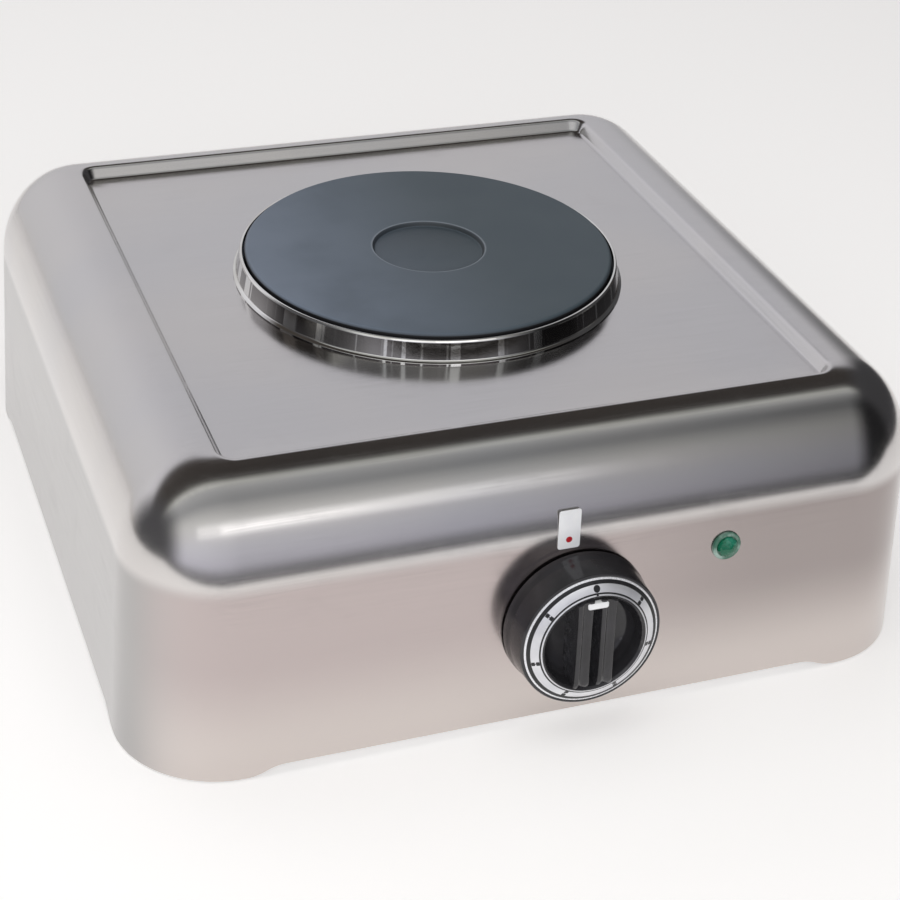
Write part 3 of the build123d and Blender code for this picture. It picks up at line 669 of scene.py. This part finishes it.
def footRise(x, y):
    # height of the lower edge: low at the corner feet, lifted between them by an S of two arcs
    if abs(x) < cover["cornerX"]:
        along = cover["cornerX"] - abs(x)
    elif abs(y) < cover["cornerY"]:
        along = cover["cornerY"] - abs(y)
    else:
        return cover["footGap"]
    run, lift = cover["liftRun"], cover["lift"]
    if along >= run:
        return cover["footGap"] + lift
    arc = (run ** 2 + lift ** 2) / (4 * lift)
    if along <= run / 2:
        return cover["footGap"] + arc - math.sqrt(arc ** 2 - along ** 2)
    rest = run - along
    return cover["footGap"] + lift - arc + math.sqrt(arc ** 2 - rest ** 2)


def eased(first, corner, last, steps=5):
    # points of a soft curve past a corner
    row = []
    for k in range(steps + 1):
        t = k / steps
        row.append(tuple(
            (1 - t) ** 2 * a + 2 * t * (1 - t) * b + t ** 2 * c for a, b, c in zip(first, corner, last)
        ))
    return row


def coverSkin():
    # wall, crown and border from the lower edge inwards, then the recess
    loops = []
    count = cover["wallRows"]
    base = [footRise(x, y) for x, y in sweepLoop(footCorner)]
    for k in range(count):
        row = []
        for i, low in enumerate(base):
            z = low + (wallTop - low) * k / count
            row.append((*loopPoint(sweepLoop, footCorner - z * math.tan(draft), i), z))
        loops.append(row)
    lastTurn = math.asin((cover["crownEnd"] - ballReach) / cover["crownRadius"])
    count = cover["crownRows"]
    for k in range(count + 1):
        turn = tangentTurn + (lastTurn - tangentTurn) * k / count
        z = ballZ + cover["crownDrop"] * math.cos(turn)
        loops.append([(x, y, z) for x, y in sweepLoop(ballReach + cover["crownRadius"] * math.sin(turn))])
    outer, inner = sweepLoop(cover["crownEnd"]), recessLoop(cover["crestEase"])
    count = cover["borderRows"]
    for k in range(1, count):
        t = k / count
        border = [(a[0] + (b[0] - a[0]) * t, a[1] + (b[1] - a[1]) * t) for a, b in zip(outer, inner)]
        loops.append([(x, y, crownZ(x, y)) for x, y in border])
    return bridged(loops + recessRows())


madeLoops = {}


def loopPoint(maker, size, index):
    # one point of an outline, which is worked out once for each size
    key = (maker.__name__, round(size, 5))
    if key not in madeLoops:
        madeLoops[key] = maker(size)
    return madeLoops[key][index]


def recessRows():
    # crest, sloped step, floor edge and deck, down to the hole under the disc
    ease, floorEase = cover["crestEase"], cover["floorEase"]
    run, depth = cover["recessRun"], cover["recessDepth"]
    length = math.hypot(run, depth)
    columns = []
    for i, (x, y) in enumerate(recessLoop(ease)):
        first = (x, y, crownZ(x, y))
        # where the sloped step meets the crown, found by a few steps of guess and correction
        offset = 0.0
        for _ in range(4):
            x, y = loopPoint(recessLoop, offset, i)
            offset = -(cover["height"] - crownZ(x, y)) * run / depth
        x, y = loopPoint(recessLoop, offset, i)
        crest = (x, y, crownZ(x, y))
        below = (*loopPoint(recessLoop, offset - ease * run / length, i), crest[2] - ease * depth / length)
        column = eased(first, crest, below)
        x, y = loopPoint(recessLoop, -run + floorEase * run / length, i)
        above = (x, y, deckZ + floorEase * depth / length)
        foot = (*loopPoint(recessLoop, -run, i), deckZ)
        x, y = loopPoint(recessLoop, -run - floorEase, i)
        column += eased(above, foot, (x, y, deckZ))
        turn = math.atan2(y, x)
        for reach in (0.25, 0.5, 0.75, 1.0):
            r = math.hypot(x, y) * (1 - reach) + cover["holeRadius"] * reach
            column.append((r * math.cos(turn), r * math.sin(turn), deckZ))
        columns.append(column)
    return [list(row) for row in zip(*columns)]


def makeCover():
    piece = addObject("pressedCover", shapeMesh("pressedCover", coverSkin(), axisShift))
    smoothOut(piece.data, 50)
    wall = piece.modifiers.new("sheet", "SOLIDIFY")
    wall.thickness = cover["sheet"] * mm
    wall.offset = -1
    cutter = holeCutter()
    hole = piece.modifiers.new("holes", "BOOLEAN")
    hole.object = cutter
    hole.solver = "EXACT"
    baked(piece, "pressedCover")
    bpy.data.objects.remove(cutter)
    smoothOut(piece.data, 50)
    return piece


holes = {"shaft": 5.0, "screw": 2.1, "screwOffset": 17, "lamp": 5.1, "gland": 8.1, "halfDepth": 4}


def holeCutter():
    # pegs where the shaft, the switch screws, the lamp and the gland pass through the walls
    pegs = []
    half = holes["halfDepth"]
    for spot, y, r, front in (
        ("knob", 0, holes["shaft"], True), ("knob", holes["screwOffset"], holes["screw"], True),
        ("knob", -holes["screwOffset"], holes["screw"], True), ("lamp", 0, holes["lamp"], True),
        ("gland", 0, holes["gland"], False),
    ):
        place = wallMatrix(*spots[spot], front)
        points, faces = lathe([(0, -half), (r, -half), (r, half), (0, half)], 48)
        inMetres = [Vector(p) * mm + Vector((0, y * mm, 0)) for p in points]
        pegs.append(([tuple((place @ p) / mm) for p in inMetres], faces))
    cutter = addObject("pegs", shapeMesh("pegs", joined(*pegs)))
    smoothOut(cutter.data, 30)
    cutter.hide_render = True
    return cutter


def flangeStrips():
    # folded strips inside the lower edge that the base plate is screwed to
    strips = []
    half, width = cover["flangeLength"] / 2, cover["flangeWidth"]
    low, high = cover["flangeZ"], cover["flangeZ"] + cover["sheet"]
    footWidth = footCorner + cover["cornerX"]
    for turn, reach in ((0, footDepth), (90, footWidth), (180, footDepth), (270, footWidth)):
        outer = reach - cover["sheet"] - low * math.tan(draft)
        outline = rounded(
            [(-half, outer - width, 3), (half, outer - width, 3), (half, outer, 0), (-half, outer, 0)], True
        )
        strips.append(moved(prism(outline, low, high), Matrix.Rotation(math.radians(turn), 4, "Z")))
    return joined(*strips)


coverPiece = makeCover()
flanges = shapeMesh("flanges", flangeStrips(), axisShift)
smoothOut(flanges, 30)
bm = bmesh.new()
bm.from_mesh(coverPiece.data)
bm.from_mesh(flanges)
bm.to_mesh(coverPiece.data)
bm.free()
dressPiece(coverPiece, looks["brushed_stainless"], "cooker", ["body_shell"])
print("cover made:", len(coverPiece.data.polygons))


# burner

disc = {
    "radius": 89, "top": 147, "underside": 131, "ceiling": 140, "shoulder": 91.2,
    "shoulderTop": 138.9, "skirt": 88.2, "dimple": 27.5, "dimpleDepth": 2.2,
}


def discSection():
    top, floor = disc["top"], disc["top"] - disc["dimpleDepth"]
    low, high = disc["underside"], disc["ceiling"]
    corners = [
        (0, floor + 0.5, 0), (12, floor + 0.15, 20), (disc["dimple"] - 1.5, floor, 0.9),
        (disc["dimple"] - 0.2, top, 0.45), (60, top, 0), (disc["radius"] - 1.1, top, 2.5),
        (disc["radius"], top - 1.3, 1.2), (disc["radius"], disc["shoulderTop"], 0.4),
        (disc["shoulder"], disc["shoulderTop"], 0.3),
        (disc["shoulder"], deckZ + 0.05, 0.2), (disc["skirt"], deckZ + 0.05, 0.2), (disc["skirt"], low, 0.5),
    ]
    for outer, inner in ((84, 67), (64, 47), (44, 28), (25, 12)):
        corners += [(outer, low, 0.4), (outer, high, 0.8), (inner, high, 0.8), (inner, low, 0.4)]
    corners += [(4, low, 0.3), (4, low + 10, 0.3), (0, low + 10, 0)]
    return rounded(corners)


makePiece(
    "burnerDisc", lathe(discSection(), 220), looks["cast_iron_black"], "cooker",
    ["hotplate_disc"], axisShift, 30,
)

ring = {"foot": 94.5, "sheet": 0.7, "lip": 89.9}


def ringSection():
    foot, lip, top = ring["foot"], ring["lip"], disc["top"]
    t = ring["sheet"]
    rest = disc["shoulderTop"] + 0.05
    return rounded([
        (foot, deckZ, 0.05), (foot, deckZ + t, 0.3), (foot - 1.5, deckZ + t + 0.7, 1.2),
        (foot - 2.9, top - 3.1, 1.4), (foot - 3.4, top - 2.1, 0.5), (foot - 4.4, top - 2.1, 0.2),
        (lip, top - 2.6, 0.3), (lip, rest, 0.1), (lip + t, rest, 0.1), (lip + t, top - 3.3, 0.3),
        (foot - 3.6, top - 3.6, 0.4), (foot - 2.4, deckZ + 1.1, 0.6), (foot - 2.4, deckZ, 0.1),
    ], True, 5)


makePiece(
    "spillRing", lathe(ringSection(), 240, True), looks["polished_ring"], "cooker",
    ["spill_ring"], axisShift, 50,
)
print("burner made")


# knob

knob = {
    "radius": 32.6, "skirt": 34.2, "depth": 18, "gap": 1.0, "bowl": 22.6, "floor": 10, "rim": 21.8,
    "dialIn": 24, "dialOut": 31.3, "gripWidth": 18.4, "groove": 3.4, "gripTop": 23.3, "shaftEnd": 9.6,
    "pointerWidth": 9.6, "pointerHeight": 3.0, "pointerSeat": 21, "pointerY": 20.4, "positions": 7,
}
knobPlace = wallMatrix(*spots["knob"])
dialSlope = (knob["rim"] - knob["depth"]) / (knob["dialOut"] - knob["dialIn"])


def dialSeat(radius):
    return knob["depth"] - 0.6 + dialSlope * (knob["dialOut"] - radius)


def knobSection():
    inner, outer, bowl = knob["dialIn"], knob["dialOut"], knob["bowl"]
    floor, rim, ceiling, gap = knob["floor"], knob["rim"], knob["floor"] - 3, knob["gap"]
    hub, bore = 7.0, 3.05
    return rounded([
        (0, floor, 0), (16.4, floor, 8), (19.8, floor + 1.6, 3), (21.7, floor + 4.6, 4),
        (bowl, rim - 0.9, 0.8), (bowl + 0.9, rim, 0.4), (inner, rim, 0.15), (inner, dialSeat(inner), 0.02),
        (outer, dialSeat(outer), 0.02), (outer, knob["depth"], 0.2), (knob["radius"], knob["depth"], 0.7),
        (knob["radius"] + 0.7, 6.5, 3), (knob["skirt"] - 0.3, 3.6, 1.2), (knob["skirt"], gap, 0.3),
        (31.4, gap, 0.3), (30.0, ceiling, 1), (hub, ceiling, 0.5), (hub, gap + 1.5, 0.3),
        (bore, gap + 1.5, 0.2), (bore, knob["shaftEnd"], 0.2), (0, knob["shaftEnd"], 0),
    ])


def gripRib(centreX, width, steps=36):
    # one ridge of the grip, its ends following the bowl's wall
    half, top, low = width / 2, knob["gripTop"], knob["floor"] - 0.8
    section = rounded([
        (-half, low, 0), (-half + 0.35, top, 1.3), (-half + 2.0, top, 0.6), (0, top - 1.1, 2.0),
        (half - 2.0, top, 0.6), (half - 0.35, top, 1.3), (half, low, 0),
    ], False, 6)
    loops = []
    for k in range(steps + 1):
        turn = (-1 + 2 * k / steps) * math.pi / 2
        loop = []
        for x, z in section:
            y = math.sqrt((knob["bowl"] + 0.25) ** 2 - (centreX + x) ** 2) * math.sin(turn)
            drop = 2.2 * max(0.0, (abs(y) - 18) / 4.8) ** 2 if y < 0 else 0.0
            flare = 1 + 0.12 * (abs(y) / knob["bowl"]) ** 4
            loop.append((centreX + x * flare, y, low + (z - low) * (1 - drop / (top - low))))
        loops.append(loop)
    points, faces = bridged(loops)
    return points, faces + capEnds(len(points), len(section))


def oblong(halfWide, halfTall, corner=0, middle=0.0, steps=6):
    # rectangle about a point on the Y axis
    return rounded([
        (-halfWide, middle - halfTall, corner), (halfWide, middle - halfTall, corner),
        (halfWide, middle + halfTall, corner), (-halfWide, middle + halfTall, corner),
    ], True, steps)


def knobShape():
    width = (knob["gripWidth"] - knob["groove"]) / 2
    offset = (knob["gripWidth"] + knob["groove"]) / 4
    web = prism(oblong(2.6, 21.5), knob["floor"] - 0.8, knob["floor"] + 4)
    head = oblong(knob["pointerWidth"] / 2 + 0.6, 2.05, 0.8, 20.25)
    head = prism(head, knob["floor"], knob["pointerSeat"], 0.4)
    body = lathe(knobSection(), 200)
    return joined(body, gripRib(-offset, width), gripRib(offset, width), web, head)


makePiece(
    "knobBody", knobShape(), looks["knob_plastic"], "control_knob", ["knob_body"],
    knobPlace, 32,
)


def dialBand(inner, outer, lift=0.0):
    # one printed band of the dial, lying on the sloping seat
    low, top = 0.05, 0.5 + lift
    return lathe(rounded([
        (inner, dialSeat(inner) + low, 0), (outer, dialSeat(outer) + low, 0),
        (outer, dialSeat(outer) + top, 0.06), (inner, dialSeat(inner) + top, 0.06),
    ], True, 3), 200, True)


dial = {
    "white": (30.35, 31.2), "dark": (28.75, 30.35), "silver": (25.4, 28.75), "line": (24.75, 25.4),
    "inner": (24.12, 24.75),
}
marks = {
    "radius": 27.08, "pitch": 1.85, "length": 1.35, "width": 1.9, "height": 0.05, "dot": 1.5,
    "hairline": 0.4, "smallDot": 0.6,
}
makePiece(
    "dialRing", joined(dialBand(*dial["silver"]), dialBand(*dial["inner"])), looks["dial_metal"],
    "control_knob", ["dial_ring"], knobPlace, 30,
)
makePiece(
    "dialRim", dialBand(*dial["white"], 0.03), inkWhite, "control_knob", (), knobPlace, 30,
)


def hairlines():
    # thin dark lines that part the silver band at every position but the first
    lines = []
    inner, outer = dial["silver"]
    half = marks["hairline"] / 2
    for k in range(1, knob["positions"]):
        corners = [(-half, inner - 0.1), (half, inner - 0.1), (half, outer + 0.1), (-half, outer + 0.1)]
        points, faces = bridged([[(x, y, dialSeat(y) + rise) for x, y in corners] for rise in (0.3, 0.53)])
        line = points, faces + capEnds(8, 4)
        lines.append(moved(line, Matrix.Rotation(-2 * math.pi * k / knob["positions"], 4, "Z")))
    y = sum(dial["inner"]) / 2 - 0.05
    dot = lathe([(0, 0), (marks["smallDot"], 0), (marks["smallDot"], 0.25), (0, 0.25)], 32)
    lines.append(moved(dot, Matrix.Translation((0, y, dialSeat(y) + 0.32))))
    return joined(*lines)


makePiece("dialHairlines", hairlines(), inkBlack, "control_knob", (), knobPlace, 30)
makePiece(
    "dialLines", joined(dialBand(*dial["dark"], -0.02), dialBand(*dial["line"], -0.02)), inkBlack,
    "control_knob", (), knobPlace, 30,
)


def markTree():
    # radial dashes on every position of the dial, with a dot in place of the first
    tree = bpy.data.node_groups.new("dialMarks", "GeometryNodeTree")
    for label in ("Positions", "Radius", "Pitch", "Length", "Width", "Height", "Dot", "Tilt", "Ink"):
        kind = {"Positions": "Int", "Ink": "Material"}.get(label, "Float")
        tree.interface.new_socket(name=label, in_out="INPUT", socket_type="NodeSocket" + kind)
    tree.interface.new_socket(name="Geometry", in_out="OUTPUT", socket_type="NodeSocketGeometry")
    given = tree.nodes.new("NodeGroupInput").outputs
    end = tree.nodes.new("NodeGroupOutput")

    def made(kind, values=None, settings=None):
        return addNode(tree, kind, settings, values).outputs[0]

    dashSize = combined(tree, X=given["Width"], Y=given["Length"], Z=given["Height"])
    dash = made("GeometryNodeMeshCube", {"Size": dashSize})
    halfPitch = computed(tree, "MULTIPLY", given["Pitch"], 0.5)
    first = combined(tree, Y=computed(tree, "SUBTRACT", given["Radius"], halfPitch))
    step = combined(tree, Y=given["Pitch"])
    pair = made("GeometryNodeMeshLine", {"Count": 2, "Start Location": first, "Offset": step})
    dashes = made("GeometryNodeInstanceOnPoints", {"Points": pair, "Instance": dash})
    places = made("GeometryNodeMeshLine", {"Count": given["Positions"], "Offset": (0, 0, 0)})
    index = made("GeometryNodeInputIndex")
    share = computed(tree, "DIVIDE", index, given["Positions"])
    turns = combined(tree, Z=computed(tree, "MULTIPLY", share, -2 * math.pi))
    notFirst = made("FunctionNodeCompare", {2: index}, {"data_type": "INT", "operation": "GREATER_THAN"})
    ticks = made("GeometryNodeInstanceOnPoints", {
        "Points": places, "Instance": dashes, "Rotation": turns, "Selection": notFirst,
    })
    dot = made("GeometryNodeMeshCylinder", {"Vertices": 32, "Radius": given["Dot"], "Depth": given["Height"]})
    dotSpot = combined(tree, Y=given["Radius"])
    dot = made("GeometryNodeTransform", {"Geometry": dot, "Translation": dotSpot})
    both = addNode(tree, "GeometryNodeJoinGeometry")
    feed(tree, both.inputs[0], ticks)
    feed(tree, both.inputs[0], dot)
    real = made("GeometryNodeRealizeInstances", {0: both.outputs[0]})
    # marks ride up the dial's slope: height falls with distance from the axis
    away = flatLength(tree, made("GeometryNodeInputPosition"))
    rise = computed(tree, "MULTIPLY", computed(tree, "SUBTRACT", given["Radius"], away), given["Tilt"])
    lifted = made("GeometryNodeSetPosition", {"Geometry": real, "Offset": combined(tree, Z=rise)})
    inked = made("GeometryNodeSetMaterial", {"Geometry": lifted, "Material": given["Ink"]})
    feed(tree, end.inputs[0], inked)
    return tree


def grown(name, tree, values):
    # runs a node tree on an empty mesh and keeps its plain result
    piece = addObject(name, bpy.data.meshes.new(name))
    modifier = piece.modifiers.new("growth", "NODES")
    modifier.node_group = tree
    for item in tree.interface.items_tree:
        if item.item_type == "SOCKET" and item.in_out == "INPUT" and item.name in values:
            modifier[item.identifier] = values[item.name]
    return baked(piece, name)


def makeMarks():
    piece = grown("dialMarks", markTree(), {
        "Positions": knob["positions"], "Radius": marks["radius"] * mm, "Pitch": marks["pitch"] * mm,
        "Length": marks["length"] * mm, "Width": marks["width"] * mm, "Height": 2 * marks["height"] * mm,
        "Dot": marks["dot"] * mm, "Tilt": dialSlope, "Ink": inkBlack,
    })
    height = dialSeat(marks["radius"]) + 0.5
    piece.data.transform(knobPlace @ Matrix.Translation((0, 0, height * mm)))
    smoothOut(piece.data, 30)
    dressPiece(piece, inkBlack, "control_knob", ())


makeMarks()

makePiece(
    "pointer",
    moved(prism(
        oblong((knob["pointerWidth"] - 0.1) / 2, (knob["pointerHeight"] - 0.1) / 2, 0.9, steps=5),
        knob["pointerSeat"] + 0.1, knob["gripTop"] + 0.2, 0.45,
    ), Matrix.Translation((0, knob["pointerY"], 0))),
    looks["white_plastic"], "control_knob", ["pointer_insert"], knobPlace, 50,
)
print("knob made")


# pilot lamp

lamp = {"bezel": 6.9, "bezelHeight": 1.5, "lens": 4.8, "facets": 11}
lampPlace = wallMatrix(*spots["lamp"])


def facetedLens():
    # cut lens: rows of flat facets, each row turned by half a facet
    rows = [(lamp["lens"], 0.55), (lamp["lens"], 2.1), (4.35, 2.9), (3.2, 3.7), (1.7, 4.35), (0.0, 4.75)]
    count = lamp["facets"]
    points, faces = [], []
    for row, (r, z) in enumerate(rows):
        if r == 0:
            points.append((0, 0, z))
            break
        for k in range(count):
            turn = 2 * math.pi * (k + 0.5 * (row % 2 if row > 1 else 0)) / count
            points.append((r * math.cos(turn), r * math.sin(turn), z))
    for row in range(len(rows) - 2):
        for k in range(count):
            n = (k + 1) % count
            a, b = row * count, (row + 1) * count
            if row < 1:
                faces.append((a + k, a + n, b + n, b + k))
            else:
                faces.append((a + k, a + n, b + k))
                faces.append((a + n, b + n, b + k))
    last = (len(rows) - 2) * count
    faces += [(last + k, last + (k + 1) % count, len(points) - 1) for k in range(count)]
    faces.append(tuple(reversed(range(count))))
    return points, faces


makePiece("lampLens", facetedLens(), looks["green_lens"], "cooker", ["lamp_lens"], lampPlace, 3)
makePiece(
    "lampHolder",
    lathe(rounded([
        (3.9, -26, 0.1), (5.0, -26, 0.3), (5.0, 0.05, 0.05), (lamp["bezel"], 0.05, 0.15),
        (lamp["bezel"] - 0.1, lamp["bezelHeight"], 0.7), (4.95, lamp["bezelHeight"], 0.35),
        (4.95, 0.5, 0.05), (3.9, 0.5, 0.1),
    ], True), 96, True),
    looks["lamp_bezel"], "cooker", ["lamp_body"], lampPlace, 40,
)

label = {"width": 10.2, "height": 19, "corner": 1.2, "thickness": 0.45, "dotY": -5.0, "dot": 1.45}
labelPlace = wallMatrix(*spots["label"])
makePiece(
    "positionLabel",
    prism(oblong(label["width"] / 2, label["height"] / 2, label["corner"]), 0.05, label["thickness"], 0.15),
    looks["white_plastic"], "cooker", ["position_label"], labelPlace, 40,
)
makePiece(
    "labelDot",
    moved(lathe([(0, 0.35), (label["dot"], 0.35), (label["dot"], 0.47), (0.45, 0.5), (0, 0.5)], 48),
          Matrix.Translation((0, label["dotY"], 0))),
    looks["red_print"], "cooker", ["label_dot"], labelPlace, 40,
)
print("lamp and label made")


# studio

studio = {
    "floorFront": -0.385, "floorBack": 2.2, "floorSide": 0.85, "floorColour": (0.88, 0.87, 0.86),
    "floorGlow": 0.36,
    "windows": (
        {"power": 0.42, "spot": (-0.20, -1.02, 0.63), "size": (1.20, 0.24)},
        {"power": 0.10, "spot": (-0.04, -1.00, 0.60), "size": (0.42, 0.12)},
    ),
    "sky": {"power": 8.0, "size": 1.7, "spot": (-0.3, 0.1, 1.5)},
    "fill": {"power": 4.0, "size": 0.6, "spot": (-0.35, -1.05, 0.62)},
}
viewpoint = {
    "azimuth": -21.35, "elevation": 31.84, "roll": 3.05, "distance": 0.9966, "target": (-2.25, -48.6, 60),
    "lens": 81.7,
}


def makeFloor():
    side, front, back = studio["floorSide"], studio["floorFront"], studio["floorBack"]
    mesh = bpy.data.meshes.new("floor")
    corners = [(-side, front, 0), (side, front, 0), (side, back, 0), (-side, back, 0)]
    mesh.from_pydata(corners, [], [(0, 1, 2, 3)])
    look, tree, bsdf = newLook("floorPaper")
    feedAll(tree, bsdf, {
        "Base Color": (*studio["floorColour"], 1), "Roughness": 0.9,
        "Emission Color": (1.0, 0.97, 0.955, 1), "Emission Strength": studio["floorGlow"],
    })
    mesh.materials.append(look)
    addObject("floor", mesh)


def makeWorld():
    # soft strips along X, laid out by angle from the rear horizon over the top to the front horizon
    strips = [
        (-90, 0.55, 0.53, 0.52), (-8, 0.55, 0.53, 0.52), (0, 0.62, 0.62, 0.64), (26, 0.70, 0.70, 0.73),
        (42, 0.66, 0.66, 0.70), (50, 0.055, 0.048, 0.043), (88, 0.042, 0.038, 0.036), (95, 0.74, 0.76, 0.72),
        (101, 0.44, 0.45, 0.46), (118, 0.30, 0.31, 0.32), (126, 0.46, 0.47, 0.47), (138, 0.66, 0.67, 0.66),
        (152, 0.68, 0.68, 0.70), (168, 0.66, 0.67, 0.73), (186, 0.60, 0.60, 0.68), (195, 0.24, 0.24, 0.26),
        (212, 0.10, 0.10, 0.10), (250, 0.3, 0.28, 0.27),
    ]
    world = bpy.data.worlds.new("studioLight")
    bpy.context.scene.world = world
    world.use_nodes = True
    tree = world.node_tree
    background = tree.nodes["Background"]
    way = split(tree, addNode(tree, "ShaderNodeTexCoord").outputs["Generated"])
    turns = computed(tree, "DIVIDE", computed(tree, "ARCTAN2", way["Z"], way["Y"]), 2 * math.pi)
    share = computed(tree, "FLOORED_MODULO", computed(tree, "ADD", turns, 0.25), 1.0)
    ramp = addNode(tree, "ShaderNodeValToRGB", None, {"Fac": share})
    stops = ramp.color_ramp.elements
    while len(stops) > 1:
        stops.remove(stops[-1])
    for i, (degrees, r, g, b) in enumerate(strips):
        stop = stops[0] if i == 0 else stops.new((degrees + 90) / 360)
        stop.position = (degrees + 90) / 360
        stop.color = (r, g, b, 1)
    sideways = computed(tree, "ABSOLUTE", computed(tree, "ADD", way["X"], 0.10))
    shade = ranged(tree, sideways, 0.0, 1.0, 0.62, 0.86, True)
    ends = mixColours(tree, shade, ramp.outputs["Color"], (0.07, 0.07, 0.075))
    lean = ranged(tree, way["X"], 1.22, 0.76, -1.0, 1.0)
    ahead = ranged(tree, way["Y"], 1.0, 0.0, -0.35, -0.05, True)
    fade = ranged(tree, way["X"], 0.0, 0.75, 0.22, 0.60, True)
    kept = computed(tree, "SUBTRACT", 1.0, computed(tree, "MULTIPLY", ahead, fade))
    feedAll(tree, background, {"Color": ends, "Strength": computed(tree, "MULTIPLY", lean, kept)})


def areaLight(name, power, spot, aim):
    lamp = bpy.data.lights.new(name, "AREA")
    lamp.energy = power
    light = addObject(name, lamp)
    light.rotation_euler = (Vector(aim) - Vector(spot)).to_track_quat("-Z", "Y").to_euler()
    light.location = spot
    light.visible_camera = False
    return light


def makeWindows():
    # long windows ahead of the front, which light the crown
    for i, pane in enumerate(studio["windows"]):
        window = areaLight(f"window{i}", pane["power"], pane["spot"], (pane["spot"][0], -0.18, 0.12))
        window.data.shape = "RECTANGLE"
        window.data.size, window.data.size_y = pane["size"]


def makeFill(name):
    # broad soft light that is left out of reflections
    fill = areaLight(name, studio[name]["power"], studio[name]["spot"], (0, 0, 0.05))
    fill.data.size = studio[name]["size"]
    fill.visible_glossy = False


def makeCamera():
    azimuth, elevation, roll = (math.radians(viewpoint[k]) for k in ("azimuth", "elevation", "roll"))
    level = math.cos(elevation)
    back = Vector((math.sin(azimuth) * level, -math.cos(azimuth) * level, math.sin(elevation)))
    across = Vector((0, 0, 1)).cross(back).normalized()
    upwards = back.cross(across)
    right = math.cos(roll) * across + math.sin(roll) * upwards
    up = -math.sin(roll) * across + math.cos(roll) * upwards
    x, y, z = viewpoint["target"]
    spot = Vector((x, y + axisY, z)) * mm + back * viewpoint["distance"]
    camera = addObject("camera", bpy.data.cameras.new("camera"))
    camera.matrix_world = Matrix.Translation(spot) @ Matrix((right, up, back)).transposed().to_4x4()
    camera.data.lens = viewpoint["lens"]
    camera.data.sensor_width = 36.0
    camera.data.clip_start, camera.data.clip_end = 0.01, 50
    bpy.context.scene.camera = camera


makeFloor()
makeWorld()
makeWindows()
makeFill("sky")
makeFill("fill")
makeCamera()
bpy.context.scene.view_settings.view_transform = "Standard"
print("studio made")
